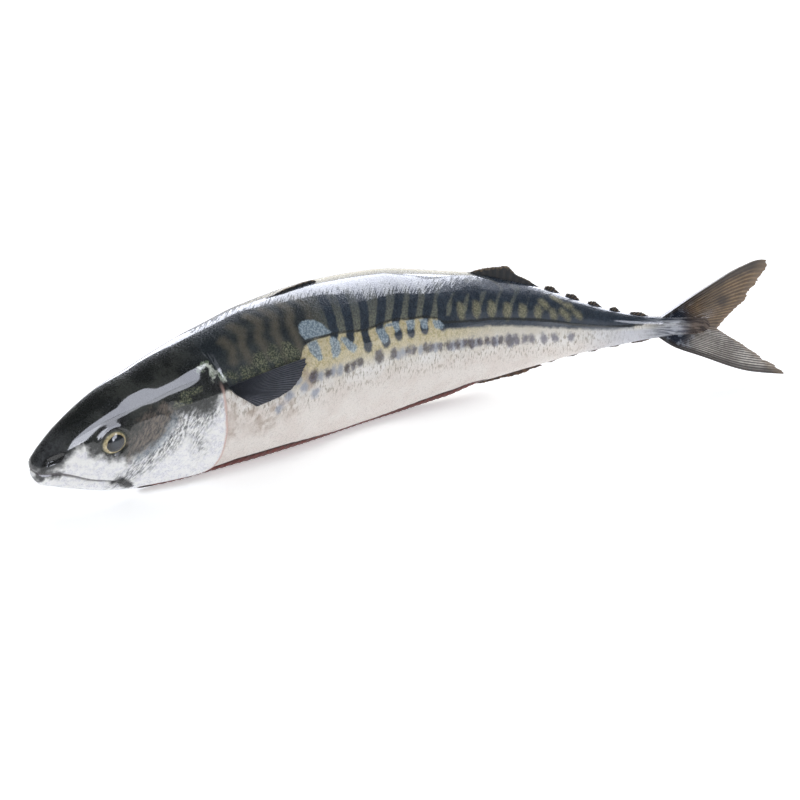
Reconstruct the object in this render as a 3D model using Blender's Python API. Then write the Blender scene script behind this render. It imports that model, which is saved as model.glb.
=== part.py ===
"""A whole mackerel, fresh and gutted, resting upright on its belly with a bent tail.

Sizes are in millimetres and turned into metres where a mesh is made. The head points to -X,
the tail to +X and the left flank to -Y. The fish stands on the plane z = 0.
"""

import bmesh
import bpy
import numpy as np

MM = 0.001
# Points closer than this, in metres, are one point.
MERGE_DISTANCE = 0.00001

# Where the snout tip lies, so that the fish's box is centred on the origin.
SNOUT_X = -173.52
SNOUT_Y = -27.11

# Distance behind the snout tip along the spine, and the spine's heading there in degrees:
# positive heads away from the left side, towards +Y.
HEADINGS = (
    (0.0, 12.4),
    (69.0, 12.4),
    (129.0, 16.9),
    (195.0, 2.4),
    (261.0, -22.1),
    (323.0, -22.1),
)
SPINE_START = -2.0
SPINE_END = 380.0
SPINE_STEP = 0.5

# Cross sections: distance behind the snout tip, depth of the body, height of its lowest line over
# the table, and width as a share of the depth. The belly's heights below zero are pressed flat.
SECTIONS = (
    (-1.0, 1.6, 18.4, 0.95),
    (0.0, 7.4, 15.0, 0.90),
    (2.3, 12.8, 12.1, 0.80),
    (6.0, 17.7, 10.7, 0.72),
    (12.3, 25.2, 8.1, 0.67),
    (29.0, 40.0, 2.7, 0.62),
    (45.5, 48.9, -0.4, 0.62),
    (62.0, 55.2, -1.2, 0.64),
    (79.0, 59.6, -1.2, 0.66),
    (95.0, 63.2, -1.2, 0.68),
    (128.5, 66.1, -1.2, 0.70),
    (162.0, 64.7, -1.1, 0.70),
    (195.0, 57.2, 0.9, 0.69),
    (211.5, 50.8, 4.4, 0.68),
    (228.0, 43.4, 7.4, 0.66),
    (245.0, 35.0, 11.2, 0.64),
    (261.0, 25.1, 15.3, 0.62),
    (278.0, 16.4, 18.8, 0.64),
    (294.5, 10.5, 21.9, 0.70),
    (308.0, 8.6, 23.5, 0.60),
    (318.0, 8.4, 23.8, 0.30),
    (322.0, 6.0, 25.0, 0.10),
)
# The oval is wider above its middle by this share, at the head and at mid body.
EGG_HEAD = 0.12
EGG_BODY = 0.04
EGG_SPAN = (40.0, 110.0)

# Rings round the body: first and last distance and the step between them.
RING_RUNS = (
    (-1.0, 3.0, 1.0),
    (4.5, 18.0, 2.25),
    (20.0, 36.0, 2.0),
    (40.0, 66.0, 5.2),
    (68.0, 74.0, 1.0),
    (78.0, 302.0, 7.0),
    (306.0, 322.0, 4.0),
)
# Angles from the ridge of the back down one flank: first, last and step, in degrees.
ANGLE_RUNS = ((0.0, 126.0, 9.0), (135.0, 165.0, 5.0), (172.5, 180.0, 7.5))

# The gill cover's rear edge: angle from the ridge and distance behind the snout tip.
GILL_EDGE = (
    (20.0, 66.0),
    (42.0, 67.5),
    (68.0, 70.0),
    (84.0, 71.7),
    (103.0, 73.3),
    (124.0, 72.0),
    (138.0, 69.5),
    (150.0, 61.0),
    (180.0, 57.0),
)
GILL_RING = 70.0
GILL_REACH = 42.0
GILL_STEP = 1.1
GILL_SWELL = (40.0, 66.0)
GILL_ANGLES = (26.0, 44.0, 140.0, 158.0)

# The mouth: distance behind the snout tip and angle of the line between the jaws.
MOUTH_LINE = ((0.0, 100.0), (6.5, 109.0), (12.5, 119.0), (19.0, 130.0), (29.0, 135.0))
MOUTH_CORNER = (27.0, 32.0)
MOUTH_DEPTH = 0.9
MOUTH_WIDTH = 2.6

# The crease in front of the gill cover: angle and distance behind the snout tip.
CREASE_LINE = ((52.0, 48.0), (68.0, 50.5), (86.0, 56.0), (119.0, 61.5), (140.0, 60.0))
CREASE_ANGLES = (45.0, 62.0, 128.0, 142.0)
CREASE_DEPTH = 0.6
CREASE_WIDTH = 4.5

EYE_DISTANCE = 27.0
EYE_ANGLE = 77.0
EYE_RADIUS = 7.0
EYE_BULGE = 1.0

# The cut along the belly, open a little on the left side.
CUT_SPAN = (36.0, 50.0, 208.0, 222.0)
CUT_ANGLE = -161.0
CUT_HALF_ANGLE = 6.0
CUT_DEPTH = 1.4

# The two small ridges on each side of the tail's root.
KEEL_START = 297.0
KEEL_END = 316.0
KEEL_HEIGHTS = (25.4, 30.2)
KEEL_HALF_HEIGHT = 1.5
KEEL_RISE = 1.1

# Fins on the middle plane: points of the base and of the margin, front to rear, each a distance
# behind the snout tip and a height. The base points lie inside the body.
FIRST_DORSAL = (
    ((100.0, 60.0), (115.0, 62.0), (130.0, 62.5)),
    ((100.5, 63.6), (115.0, 67.4), (131.0, 65.8)),
)
SECOND_DORSAL = (
    ((208.0, 52.0), (226.0, 48.0), (242.0, 43.5)),
    ((209.0, 56.4), (221.0, 57.9), (232.0, 54.2), (243.5, 46.9)),
)
ANAL_FIN = (
    ((217.0, 8.0), (240.0, 12.5)),
    ((216.5, 3.2), (230.0, 5.2), (248.0, 10.0)),
)
# Finlets: distance of the front of each base, rise out of the body, and length.
DORSAL_FINLETS = (
    (244.7, 1.9, 8.0),
    (254.5, 1.9, 7.4),
    (264.7, 2.0, 7.4),
    (274.8, 1.9, 6.2),
    (284.0, 1.8, 9.6),
)
ANAL_FINLETS = (
    (247.0, 0.9, 7.4),
    (256.5, 0.9, 7.2),
    (266.0, 0.9, 7.2),
    (275.7, 0.9, 7.0),
    (285.2, 1.0, 12.0),
)
FINLET_SINK = 1.2
# Shares of a finlet's length and rise: end of the base, front, peak and tip.
FINLET_BASE = 0.55
FINLET_FRONT = (0.05, 0.7)
FINLET_PEAK = 0.40
FINLET_TIP_RISE = 0.5
FIN_THICKNESS = (1.6, 0.7)
FINLET_THICKNESS = (1.3, 0.6)

# The pectoral fins lie flat on the flanks: distance and angle of points on the base and margin.
PECTORAL_BASE = ((73.4, 70.0), (74.5, 76.0), (76.5, 82.0))
PECTORAL_MARGIN = ((107.0, 68.5), (105.0, 75.0), (97.0, 86.0), (85.0, 92.0))
PECTORAL_LIFT = (0.2, 1.5)
PECTORAL_THICKNESS = (2.0, 0.9)

# The tail fin, root to margin, front edge of the upper lobe to front edge of the lower lobe.
TAIL_ROOT = ((302.0, 31.6), (309.0, 28.0), (302.0, 24.2))
TAIL_UPPER_EDGE = ((298.0, 31.3), (319.0, 46.2), (333.0, 54.8), (342.5, 58.3), (348.0, 57.6))
TAIL_LOWER_EDGE = ((298.0, 23.0), (305.4, 18.2), (317.4, 13.8), (344.0, 5.2), (362.3, 3.4))
TAIL_UPPER_REAR = ((348.0, 57.6), (341.1, 46.2), (337.0, 39.2), (329.4, 31.0), (325.6, 26.2))
TAIL_LOWER_REAR = ((362.3, 3.4), (350.2, 10.9), (341.0, 16.8), (331.0, 23.0), (325.6, 26.2))
TAIL_THICKNESS = (2.8, 0.8)
TAIL_COLUMNS = 9
TAIL_ROWS = 9

SKIN_COLOUR = (0.30, 0.35, 0.35, 1.0)
SKIN_ROUGHNESS = 0.28


def smooth(knots, values, x):
    """Monotone cubic curve through the knots, level beyond the two ends."""
    k = np.asarray(knots, float)
    v = np.asarray(values, float)
    step = np.diff(k)
    slope = np.diff(v) / step
    tangent = np.zeros_like(v)
    tangent[0] = slope[0]
    tangent[-1] = slope[-1]
    same = slope[:-1] * slope[1:] > 0
    w1 = 2 * step[1:] + step[:-1]
    w2 = step[1:] + 2 * step[:-1]
    with np.errstate(divide="ignore", invalid="ignore"):
        mean = (w1 + w2) / (w1 / slope[:-1] + w2 / slope[1:])
    tangent[1:-1] = np.where(same, mean, 0.0)
    x = np.clip(np.asarray(x, float), k[0], k[-1])
    i = np.clip(np.searchsorted(k, x, side="right") - 1, 0, len(k) - 2)
    t = (x - k[i]) / step[i]
    return (
        v[i] * (1 + 2 * t) * (1 - t) ** 2
        + v[i + 1] * t * t * (3 - 2 * t)
        + step[i] * (tangent[i] * t * (1 - t) ** 2 - tangent[i + 1] * t * t * (1 - t))
    )


def along(table, x):
    """The table's second column at x, which runs along its first one."""
    return smooth([row[0] for row in table], [row[1] for row in table], x)


def path(points, t):
    """Distance and height on a curve through the points, for t from 0 at the first to 1."""
    chords = np.hypot(*np.diff(np.array(points), axis=0).T)
    knots = np.concatenate([[0.0], np.cumsum(chords)]) / chords.sum()
    return np.stack([smooth(knots, [p[i] for p in points], t) for i in (0, 1)], -1)


def ramp(x, low, high):
    """0 at low, 1 at high, with an even slope at both ends."""
    t = np.clip((x - low) / (high - low), 0.0, 1.0)
    return t * t * (3 - 2 * t)


def window(x, span):
    """Rises from 0 to 1 between the span's first two values and falls between its last two."""
    return ramp(x, span[0], span[1]) * (1 - ramp(x, span[2], span[3]))


def hump(x, half_width):
    """1 at x = 0, down to 0 at the half width on both sides."""
    return np.clip(1 - (x / half_width) ** 2, 0.0, 1.0) ** 2


def spine_table():
    """Distance, x and y at even steps along the spine."""
    d = np.arange(SPINE_START, SPINE_END, SPINE_STEP)
    heading = np.radians(along(HEADINGS, d))
    mid = (heading[1:] + heading[:-1]) / 2
    x = np.concatenate([[0.0], np.cumsum(SPINE_STEP * np.cos(mid))])
    y = np.concatenate([[0.0], np.cumsum(SPINE_STEP * np.sin(mid))])
    snout = np.argmin(np.abs(d))
    return d, SNOUT_X + x - x[snout], SNOUT_Y + y - y[snout]


SPINE = spine_table()


def place(d, side, z):
    """World point, in millimetres, beside the spine: side is positive towards the right flank."""
    x = np.interp(d, SPINE[0], SPINE[1])
    y = np.interp(d, SPINE[0], SPINE[2])
    heading = np.radians(along(HEADINGS, d))
    return np.stack(
        np.broadcast_arrays(x - np.sin(heading) * side, y + np.cos(heading) * side, z), -1
    )


def section_at(d):
    """Depth, height of the belly line and half width of the body."""
    distances = [row[0] for row in SECTIONS]
    depth, belly, share = (smooth(distances, [row[i] for row in SECTIONS], d) for i in (1, 2, 3))
    return depth, belly, depth * share / 2


def oval_point(d, theta, lift):
    """Point of the body's oval at this distance and angle from the ridge of the back, in radians.

    Negative angles are on the left flank. lift moves the point outwards.
    """
    depth, belly, half_width = section_at(d)
    egg = EGG_HEAD + (EGG_BODY - EGG_HEAD) * ramp(d, *EGG_SPAN)
    side = half_width * np.sin(theta) * (1 + egg * np.cos(theta))
    z = belly + depth / 2 * (1 + np.cos(theta))
    out_side = np.sin(theta) / half_width
    out_up = np.cos(theta) / (depth / 2)
    length = np.hypot(out_side, out_up)
    return place(d, side + lift * out_side / length, z + lift * out_up / length)


def gill_shift(ring, angle):
    """How far a ring bows so that one of the rings follows the gill cover's rear edge."""
    nearness = 1 - ramp(np.abs(ring - GILL_RING), 0.0, GILL_REACH)
    return nearness * (along(GILL_EDGE, angle) - GILL_RING)


def head_relief(ring, d, angle):
    """Gill cover, crease, mouth and eye: height over the plain oval. angle is in degrees, over 0."""
    radius = section_at(d)[0] / 2
    rise = ramp(ring, *GILL_SWELL) * (1 - ramp(ring, GILL_RING, GILL_RING + 1))
    mouth_gap = np.radians(angle - along(MOUTH_LINE, d)) * radius
    crease_gap = d - along(CREASE_LINE, angle)
    eye_gap = np.hypot(d - EYE_DISTANCE, np.radians(angle - EYE_ANGLE) * radius)
    return (
        GILL_STEP * window(angle, GILL_ANGLES) * rise
        - MOUTH_DEPTH * hump(mouth_gap, MOUTH_WIDTH) * (1 - ramp(d, *MOUTH_CORNER))
        - CREASE_DEPTH * hump(crease_gap, CREASE_WIDTH) * window(angle, CREASE_ANGLES)
        + EYE_BULGE * hump(eye_gap, EYE_RADIUS)
    )


def cut_relief(d, angle):
    """The cut along the belly, which only the left side shows. angle is signed, in degrees."""
    return -CUT_DEPTH * window(d, CUT_SPAN) * hump(angle - CUT_ANGLE, CUT_HALF_ANGLE)


def keel_relief(d, z):
    """The ridges at the tail's root."""
    reach = hump(d - (KEEL_START + KEEL_END) / 2, (KEEL_END - KEEL_START) / 2)
    ridges = sum(hump(z - height, KEEL_HALF_HEIGHT) for height in KEEL_HEIGHTS)
    return KEEL_RISE * reach * ridges


def skin_point(ring, angle):
    """Point of the skin for a ring's distance and a signed angle in degrees."""
    over = np.abs(angle)
    d = ring + gill_shift(ring, over)
    theta = np.radians(angle)
    z = oval_point(d, theta, 0.0)[..., 2]
    lift = head_relief(ring, d, over) + cut_relief(d, angle) + keel_relief(d, z)
    point = oval_point(d, theta, lift)
    point[..., 2] = np.maximum(point[..., 2], 0.0)
    return point


def runs(table):
    """All the values of a table of first value, last value and step."""
    return np.concatenate([np.arange(a, b + step / 2, step) for a, b, step in table])


def new_object(name, points, faces, collection):
    """Object with outward faces from points in millimetres."""
    mesh = bpy.data.meshes.new(name)
    mesh.from_pydata([tuple(p) for p in np.asarray(points) * MM], [], faces)
    shape = bmesh.new()
    shape.from_mesh(mesh)
    bmesh.ops.remove_doubles(shape, verts=shape.verts, dist=MERGE_DISTANCE)
    bmesh.ops.recalc_face_normals(shape, faces=shape.faces)
    shape.to_mesh(mesh)
    shape.free()
    made = bpy.data.objects.new(name, mesh)
    collection.objects.link(made)
    return made


def body(collection):
    """The fish without its fins: rings round the spine, closed at the snout and the tail."""
    rings = runs(RING_RUNS)
    one_side = runs(ANGLE_RUNS)
    angles = np.concatenate([one_side, -one_side[-2:0:-1]])
    points = skin_point(rings[:, None], angles[None, :])
    count = len(angles)
    faces = []
    for i in range(len(rings) - 1):
        for j in range(count):
            k = (j + 1) % count
            faces.append((i * count + j, i * count + k, (i + 1) * count + k, (i + 1) * count + j))
    faces.append(tuple(range(count)))
    faces.append(tuple(range((len(rings) - 1) * count, len(rings) * count)))
    return new_object("body", points.reshape(-1, 3), faces, collection)


def plate(name, middle, thickness, put, collection):
    """Closed thin solid: middle is a grid of pairs, and put(a, b, offset) makes its points."""
    rows, columns = middle.shape[:2]
    sides = [put(middle[..., 0], middle[..., 1], s * thickness / 2) for s in (1, -1)]
    points = np.concatenate([side.reshape(-1, 3) for side in sides])
    half = rows * columns
    faces = []
    for i in range(rows - 1):
        for j in range(columns - 1):
            a = i * columns + j
            quad = (a, a + 1, a + columns + 1, a + columns)
            faces.append(quad)
            faces.append(tuple(half + v for v in reversed(quad)))
    rim = list(range(columns))
    rim += [i * columns + columns - 1 for i in range(1, rows)]
    rim += [(rows - 1) * columns + j for j in range(columns - 2, -1, -1)]
    rim += [i * columns for i in range(rows - 2, 0, -1)]
    for here, following in zip(rim, rim[1:] + rim[:1]):
        faces.append((following, here, half + here, half + following))
    return new_object(name, points, faces, collection)


def ruled(base, margin, columns, rows):
    """Grid of pairs between two curves, and each row's share of the way to the margin."""
    t = np.linspace(0.0, 1.0, columns)
    way = np.linspace(0.0, 1.0, rows)[:, None, None]
    return path(base, t) * (1 - way) + path(margin, t) * way, way[..., 0]


def thinning(thickness, way, columns):
    """Thickness over a ruled grid, from the base's to the margin's."""
    return (thickness[0] + (thickness[1] - thickness[0]) * way) * np.ones((1, columns))


def middle_plane(d, z, offset):
    return place(d, offset, z)


def middle_fin(name, lines, thickness, columns, rows, collection):
    grid, way = ruled(lines[0], lines[1], columns, rows)
    plate(name, grid, thinning(thickness, way, columns), middle_plane, collection)


def finlet(name, start, rise, length, upward, collection):
    """Small fin that trails from its base on the ridge of the back or of the belly."""
    base_end = start + FINLET_BASE * length
    d = np.array([start, (start + base_end) / 2, base_end])
    depth, belly, _ = section_at(d)
    surface = belly + depth if upward else belly
    out = 1.0 if upward else -1.0
    tip_d = start + length
    tip_depth, tip_belly, _ = section_at(tip_d)
    tip_surface = tip_belly + tip_depth if upward else tip_belly
    base = [(d[i], surface[i] - out * FINLET_SINK) for i in range(3)]
    margin = (
        (start + FINLET_FRONT[0] * length, surface[0] + out * FINLET_FRONT[1] * rise),
        (start + FINLET_PEAK * length, surface[1] + out * rise),
        (tip_d, tip_surface + out * FINLET_TIP_RISE * rise),
    )
    middle_fin(name, (base, margin), FINLET_THICKNESS, 4, 3, collection)


def pectoral(name, side, collection):
    """Fin folded back against the flank: side is -1 on the left and 1 on the right."""
    columns = 6
    grid, way = ruled(PECTORAL_BASE, PECTORAL_MARGIN, columns, 8)
    lift = PECTORAL_LIFT[0] + (PECTORAL_LIFT[1] - PECTORAL_LIFT[0]) * way

    def on_flank(d, angle, offset):
        return oval_point(d, np.radians(side * angle), lift + offset)

    plate(name, grid, thinning(PECTORAL_THICKNESS, way, columns), on_flank, collection)


def lobe(edge, rear, root_half, columns):
    """Half of the tail fin's grid: rays fan out from the root to the lobe's rear margin."""
    t = np.linspace(0.0, 1.0, columns)
    way = np.linspace(0.0, 1.0, TAIL_ROWS)[:, None]
    straight = path(root_half, t)[None] * (1 - way[..., None]) + path(rear, t)[None] * way[..., None]
    bow = path(edge, way[:, 0]) - straight[:, 0]
    return straight + bow[:, None, :] * ((1 - t) ** 2)[None, :, None]


def tail(collection):
    top, middle, low = TAIL_ROOT
    upper = lobe(TAIL_UPPER_EDGE, TAIL_UPPER_REAR, (top, middle), TAIL_COLUMNS)
    lower = lobe(TAIL_LOWER_EDGE, TAIL_LOWER_REAR, (low, middle), TAIL_COLUMNS)
    grid = np.concatenate([upper, lower[:, -2::-1]], axis=1)
    way = np.linspace(0.0, 1.0, TAIL_ROWS)[:, None]
    thickness = thinning(TAIL_THICKNESS, way, grid.shape[1])
    plate("tail_fin", grid, thickness, middle_plane, collection)


def fins(collection):
    middle_fin("first_dorsal", FIRST_DORSAL, FIN_THICKNESS, 8, 3, collection)
    middle_fin("second_dorsal", SECOND_DORSAL, FIN_THICKNESS, 9, 4, collection)
    middle_fin("anal_fin", ANAL_FIN, FIN_THICKNESS, 6, 3, collection)
    for i, (start, rise, length) in enumerate(DORSAL_FINLETS):
        finlet(f"dorsal_finlet_{i + 1}", start, rise, length, True, collection)
    for i, (start, rise, length) in enumerate(ANAL_FINLETS):
        finlet(f"anal_finlet_{i + 1}", start, rise, length, False, collection)
    pectoral("left_pectoral", -1, collection)
    pectoral("right_pectoral", 1, collection)
    tail(collection)


def skin_material():
    material = bpy.data.materials.new("fish_skin")
    material.use_nodes = True
    shader = material.node_tree.nodes["Principled BSDF"]
    shader.inputs["Base Color"].default_value = SKIN_COLOUR
    shader.inputs["Roughness"].default_value = SKIN_ROUGHNESS
    shader.inputs["Metallic"].default_value = 0.0
    return material


def join(fish, collection):
    """One union of the body with every fin in the collection, applied."""
    union = fish.modifiers.new("fins", "BOOLEAN")
    union.operation = "UNION"
    union.operand_type = "COLLECTION"
    union.collection = collection
    union.solver = "MANIFOLD"
    bpy.context.view_layer.update()
    graph = bpy.context.evaluated_depsgraph_get()
    joined = bpy.data.meshes.new_from_object(fish.evaluated_get(graph))
    fish.modifiers.clear()
    fish.data = joined
    for part in list(collection.objects):
        bpy.data.objects.remove(part)
    bpy.data.collections.remove(collection)


def main():
    for old in list(bpy.data.objects):
        bpy.data.objects.remove(old)
    pieces = bpy.data.collections.new("fins")
    bpy.context.scene.collection.children.link(pieces)
    fish = body(bpy.context.scene.collection)
    fins(pieces)
    join(fish, pieces)
    fish.name = "mackerel"
    fish.data.name = "mackerel"
    fish.data.materials.clear()
    fish.data.materials.append(skin_material())
    fish.data.shade_smooth()
    fish.data.set_sharp_from_angle(angle=np.radians(40.0))


main()
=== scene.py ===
"""A whole mackerel, fresh and gutted: its skin, eyes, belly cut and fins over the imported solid.

Lengths in tables are millimetres. The head points to -X, the tail to +X, the left flank to -Y.
A place on a flank is a distance behind the snout tip along the spine and an angle from the ridge
of the back.
"""

from functools import cached_property

import bmesh
import bpy
import numpy as np
from bpy.props import FloatProperty, FloatVectorProperty, PointerProperty
from mathutils import Matrix, Vector


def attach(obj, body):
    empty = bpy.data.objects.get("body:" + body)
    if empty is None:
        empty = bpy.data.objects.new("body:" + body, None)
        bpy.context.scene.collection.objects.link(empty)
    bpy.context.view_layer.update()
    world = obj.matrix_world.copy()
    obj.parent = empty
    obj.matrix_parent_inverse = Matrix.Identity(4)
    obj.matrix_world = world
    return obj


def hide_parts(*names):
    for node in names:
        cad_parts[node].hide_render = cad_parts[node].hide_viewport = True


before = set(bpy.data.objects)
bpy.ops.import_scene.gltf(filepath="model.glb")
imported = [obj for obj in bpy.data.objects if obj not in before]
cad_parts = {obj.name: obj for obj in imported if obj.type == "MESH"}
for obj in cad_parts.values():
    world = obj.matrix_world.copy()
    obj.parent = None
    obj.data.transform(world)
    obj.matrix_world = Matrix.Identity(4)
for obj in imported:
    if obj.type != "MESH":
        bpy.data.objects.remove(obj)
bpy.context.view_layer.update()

bl_info = {
    "name": "Whole mackerel",
    "version": (1, 0, 0),
    "blender": (4, 5, 0),
    "location": "View3D > Sidebar > Mackerel",
    "description": "Builds a whole mackerel resting on its belly",
    "category": "Object",
}

MM = 0.001
NODE = "mackerel"

# The form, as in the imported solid: the snout tip's place, the spine's heading in degrees at a
# distance, and cross sections of distance, depth, height of the belly line and share of width.
SNOUT_X = -173.52
SNOUT_Y = -27.11
HEADINGS = (
    (0, 12.4), (69, 12.4), (129, 16.9), (195, 2.4), (261, -22.1), (323, -22.1),
)
SPINE_START = -2
SPINE_END = 380
SPINE_STEP = 0.5
SECTIONS = (
    (-1, 1.6, 18.4, 0.95), (0, 7.4, 15, 0.90), (2.3, 12.8, 12.1, 0.80),
    (6, 17.7, 10.7, 0.72), (12.3, 25.2, 8.1, 0.67), (29, 40, 2.7, 0.62),
    (45.5, 48.9, -0.4, 0.62), (62, 55.2, -1.2, 0.64), (79, 59.6, -1.2, 0.66),
    (95, 63.2, -1.2, 0.68), (128.5, 66.1, -1.2, 0.70), (162, 64.7, -1.1, 0.70),
    (195, 57.2, 0.9, 0.69), (211.5, 50.8, 4.4, 0.68), (228, 43.4, 7.4, 0.66),
    (245, 35, 11.2, 0.64), (261, 25.1, 15.3, 0.62), (278, 16.4, 18.8, 0.64),
    (294.5, 10.5, 21.9, 0.70), (308, 8.6, 23.5, 0.60), (318, 8.4, 23.8, 0.30),
    (322, 6, 25, 0.10),
)
EGG_HEAD = 0.12
EGG_BODY = 0.04
EGG_SPAN = (40, 110)

# Rings of the skin, as first and last distance and step, and the number of points round each.
SKIN_RINGS = (
    (-1, 5.9, 0.35), (6.3, 66, 0.65), (66.4, 73.6, 0.4), (74.5, 300.5, 1.25),
    (301.2, 322, 1.6),
)
SKIN_ROUND = 216

GILL_EDGE = (
    (20, 66), (42, 67.5), (68, 70), (84, 70.4), (103, 71), (124, 70.5),
    (138, 68.5), (150, 61), (180, 57),
)
GILL_RING = 70
GILL_REACH = 42
GILL_STEP = 1.25
GILL_SWELL = (40, 66)
GILL_ANGLES = (26, 44, 140, 158)
MOUTH_LINE = ((0, 100), (6.5, 109), (12.5, 119), (19, 130), (29, 135))
MOUTH_CORNER = (27, 32)
# The upper jaw's plate, which ends in a lobe over the corner of the mouth.
JAW_PLATE = (
    (9.0, 108.0), (14.0, 112.0), (20.0, 121.0), (27.0, 126.0), (31.0, 126.0), (34.0, 133.0),
    (36.5, 143.0), (36.0, 152.0), (33.0, 150.0), (29.5, 137.5), (25.0, 133.5), (19.0, 130.0),
    (12.5, 119.0),
)
CREASE_LINE = ((52, 48), (68, 50.5), (86, 56), (119, 61.5), (140, 60))
CREASE_ANGLES = (54, 74, 128, 142)
EYE_DISTANCE = 27
EYE_ANGLE = 79.5
EYE_RADIUS = 5
EYE_HALF_ANGLE = 14.2
CUT_SPAN = (36, 50, 208, 222)
CUT_LOW_ANGLE = -167
# Upper lip of the belly cut: distance and angle on the left flank.
CUT_LINE = (
    (36, 154), (48, 150), (56, 146.5), (64.5, 146), (73, 144), (81, 141),
    (99, 140.5), (109.5, 143), (120.5, 146), (133, 150), (144, 150),
    (155.5, 148.5), (166, 144.5), (177, 141.5), (188.5, 140), (199.5, 139.5),
    (212.5, 148), (224.5, 160),
)
KEEL_START = 297
KEEL_END = 316
KEEL_HEIGHTS = (25.4, 30.2)
KEEL_HALF_HEIGHT = 1.5

# Fins on the middle plane: base and margin, front to rear, each a distance and a height.
FIRST_DORSAL = (
    ((100, 60), (115, 62), (130, 62.5)),
    ((100.5, 62.6), (115, 65.6), (127, 66.4), (131, 64)),
)
SECOND_DORSAL = (
    ((208, 52), (226, 48), (243, 43)),
    ((205, 55.6), (214, 57), (226, 57.8), (232, 54), (245, 45.9)),
)
ANAL_FIN = (
    ((206, 5), (222, 9), (240, 12.5)),
    ((203, 3.6), (217, 3.4), (230, 4.7), (247, 9.7)),
)
# Finlets: distance of the front of each base, rise out of the body, and length.
DORSAL_FINLETS = (
    (244.7, 1.9, 8), (254.5, 1.9, 7.4), (264.7, 2, 7.4), (274.8, 1.9, 6.2), (284, 1.8, 9.6),
)
ANAL_FINLETS = (
    (247, 0.9, 7.4), (256.5, 0.9, 7.2), (266, 0.9, 7.2), (275.7, 0.9, 7), (285.2, 1, 12),
)
FINLET_SINK = 1.2
FINLET_BASE = 0.55
PECTORAL_BASE = ((73, 67.5), (73.8, 71.5), (75.2, 75.5))
PECTORAL_MARGIN = ((107, 67), (104.5, 75.5), (96, 87), (83.5, 90))
TAIL_ROOT = ((302, 31.6), (309, 28), (302, 24.2))
TAIL_UPPER_EDGE = ((298, 31.3), (319, 46.2), (333, 54.8), (342.5, 58.3), (348, 57.6))
TAIL_LOWER_EDGE = ((298, 23), (305.4, 18.2), (317.4, 13.8), (344, 5.2), (362.3, 3.4))
TAIL_UPPER_REAR = ((348, 57.6), (341.1, 46.2), (337, 39.2), (329.4, 31), (325.6, 26.2))
TAIL_SPOT = (326.3, 39.6)
TAIL_LOWER_REAR = ((362.3, 3.4), (350.2, 10.9), (341, 16.8), (331, 23), (325.6, 26.2))

# Lines on the flank, as distance and angle. The back's colour ends at BACK_EDGE.
BACK_EDGE = (
    (0, 90), (2, 92), (4.5, 92), (7, 88), (10.5, 83), (12, 70), (14, 63),
    (16, 66), (17, 80), (20, 90), (24, 97), (28, 101), (32.5, 104),
    (35.5, 102), (40.5, 98), (44, 92), (46.5, 84), (49, 77), (53.5, 76),
    (57.5, 77), (62.5, 79), (66, 79), (68, 72), (70.5, 68), (74, 72),
    (85, 72), (96, 72), (103, 70), (106, 60), (112, 56), (120, 57.5),
    (127, 58), (136.5, 61), (143.5, 60), (153.5, 58.5), (163.5, 60), (173.5, 60.5),
    (180.5, 62), (184.5, 66.5), (190, 69), (198, 70.5), (207.5, 71.5), (221, 72.5),
    (233.5, 73), (245, 74), (258.5, 74.5), (266.5, 73), (279.5, 66), (296, 55),
    (322, 60),
)
BELLY_EDGE = (
    (0, 96), (60, 96), (70, 74), (79, 88), (102.5, 96), (116.5, 92),
    (156, 94), (206.5, 97), (251.5, 108), (300, 120), (322, 125),
)
LATERAL_LINE = (
    (106.5, 56), (112.5, 56), (120, 57), (127, 58), (136.5, 61), (143.5, 60),
    (153.5, 58), (163.5, 60), (173.5, 60), (180.5, 62), (184.5, 66), (205, 68),
    (245, 70), (290, 60),
)
# Dark bars of the back, ridge to foot.
BARS = (
    ((118, 3), (124, 20), (123, 37), (121.5, 58)),
    ((127, 3), (133, 24), (131, 45), (129, 64)),
    ((137, 3), (142.5, 20), (141, 42), (137, 62), (137.5, 73)),
    ((147, 3), (153.5, 18), (152.5, 39), (145.5, 62), (147, 69)),
    ((158, 3), (163, 18), (163.5, 36), (155.5, 60)),
    ((167, 3), (171, 18), (172, 36), (165.5, 58)),
    ((176, 3), (182, 18), (182, 34), (174, 60)),
    ((186, 3), (193, 18), (192.5, 32), (185.5, 48), (183, 66)),
    ((195, 3), (200, 18), (200.5, 33), (194, 50), (191, 66)),
    ((209, 28), (205.5, 43), (200.5, 64)),
    ((206, 3), (214, 16), (218.5, 29), (210, 60), (209.5, 67)),
    ((219, 3), (224, 14), (226, 29), (219.5, 60), (219, 68)),
    ((229, 3), (234, 12), (235, 24), (228.5, 58), (228, 68)),
    ((238, 3), (241, 22), (236, 58), (236, 69)),
    ((252, 5), (248, 24), (245.5, 42), (243, 58), (242.5, 70)),
    ((184.5, 66.5), (190, 67), (207, 68.8), (245, 71), (262, 68), (284, 54)),
    ((193, 32), (200.5, 33), (209, 30), (218.5, 29)),
)
BAR_HALF_WIDTH = 2.1
# Round drops under the feet of bars, and dark spots of the row along the flank.
DROPS = (
    (137.6, 73), (148.2, 73), (156, 70), (163.5, 70), (172, 69), (183, 68),
)
SPOT_ROW = (
    (109, 82), (116, 83.5), (125.5, 84), (129, 83.5), (132.5, 83), (143.5, 82.5),
    (152, 83), (161, 83.5), (164.5, 84), (172, 84.5), (175.5, 85), (181.5, 85.5),
    (186.5, 86), (192, 86), (197, 86), (201, 87.5), (206, 89), (210.5, 90),
    (214.5, 91), (219, 92), (224, 93), (228, 93.5), (233, 94), (237, 95),
    (243, 96), (248.5, 97), (256.5, 97.5),
)
SPOT_SIZES = (2.2, 1.7, 1.8, 1.7, 1.8, 2.7, 2.2, 1.8, 1.7, 1.9, 1.8, 1.7, 2, 1.9, 1.8)
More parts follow.
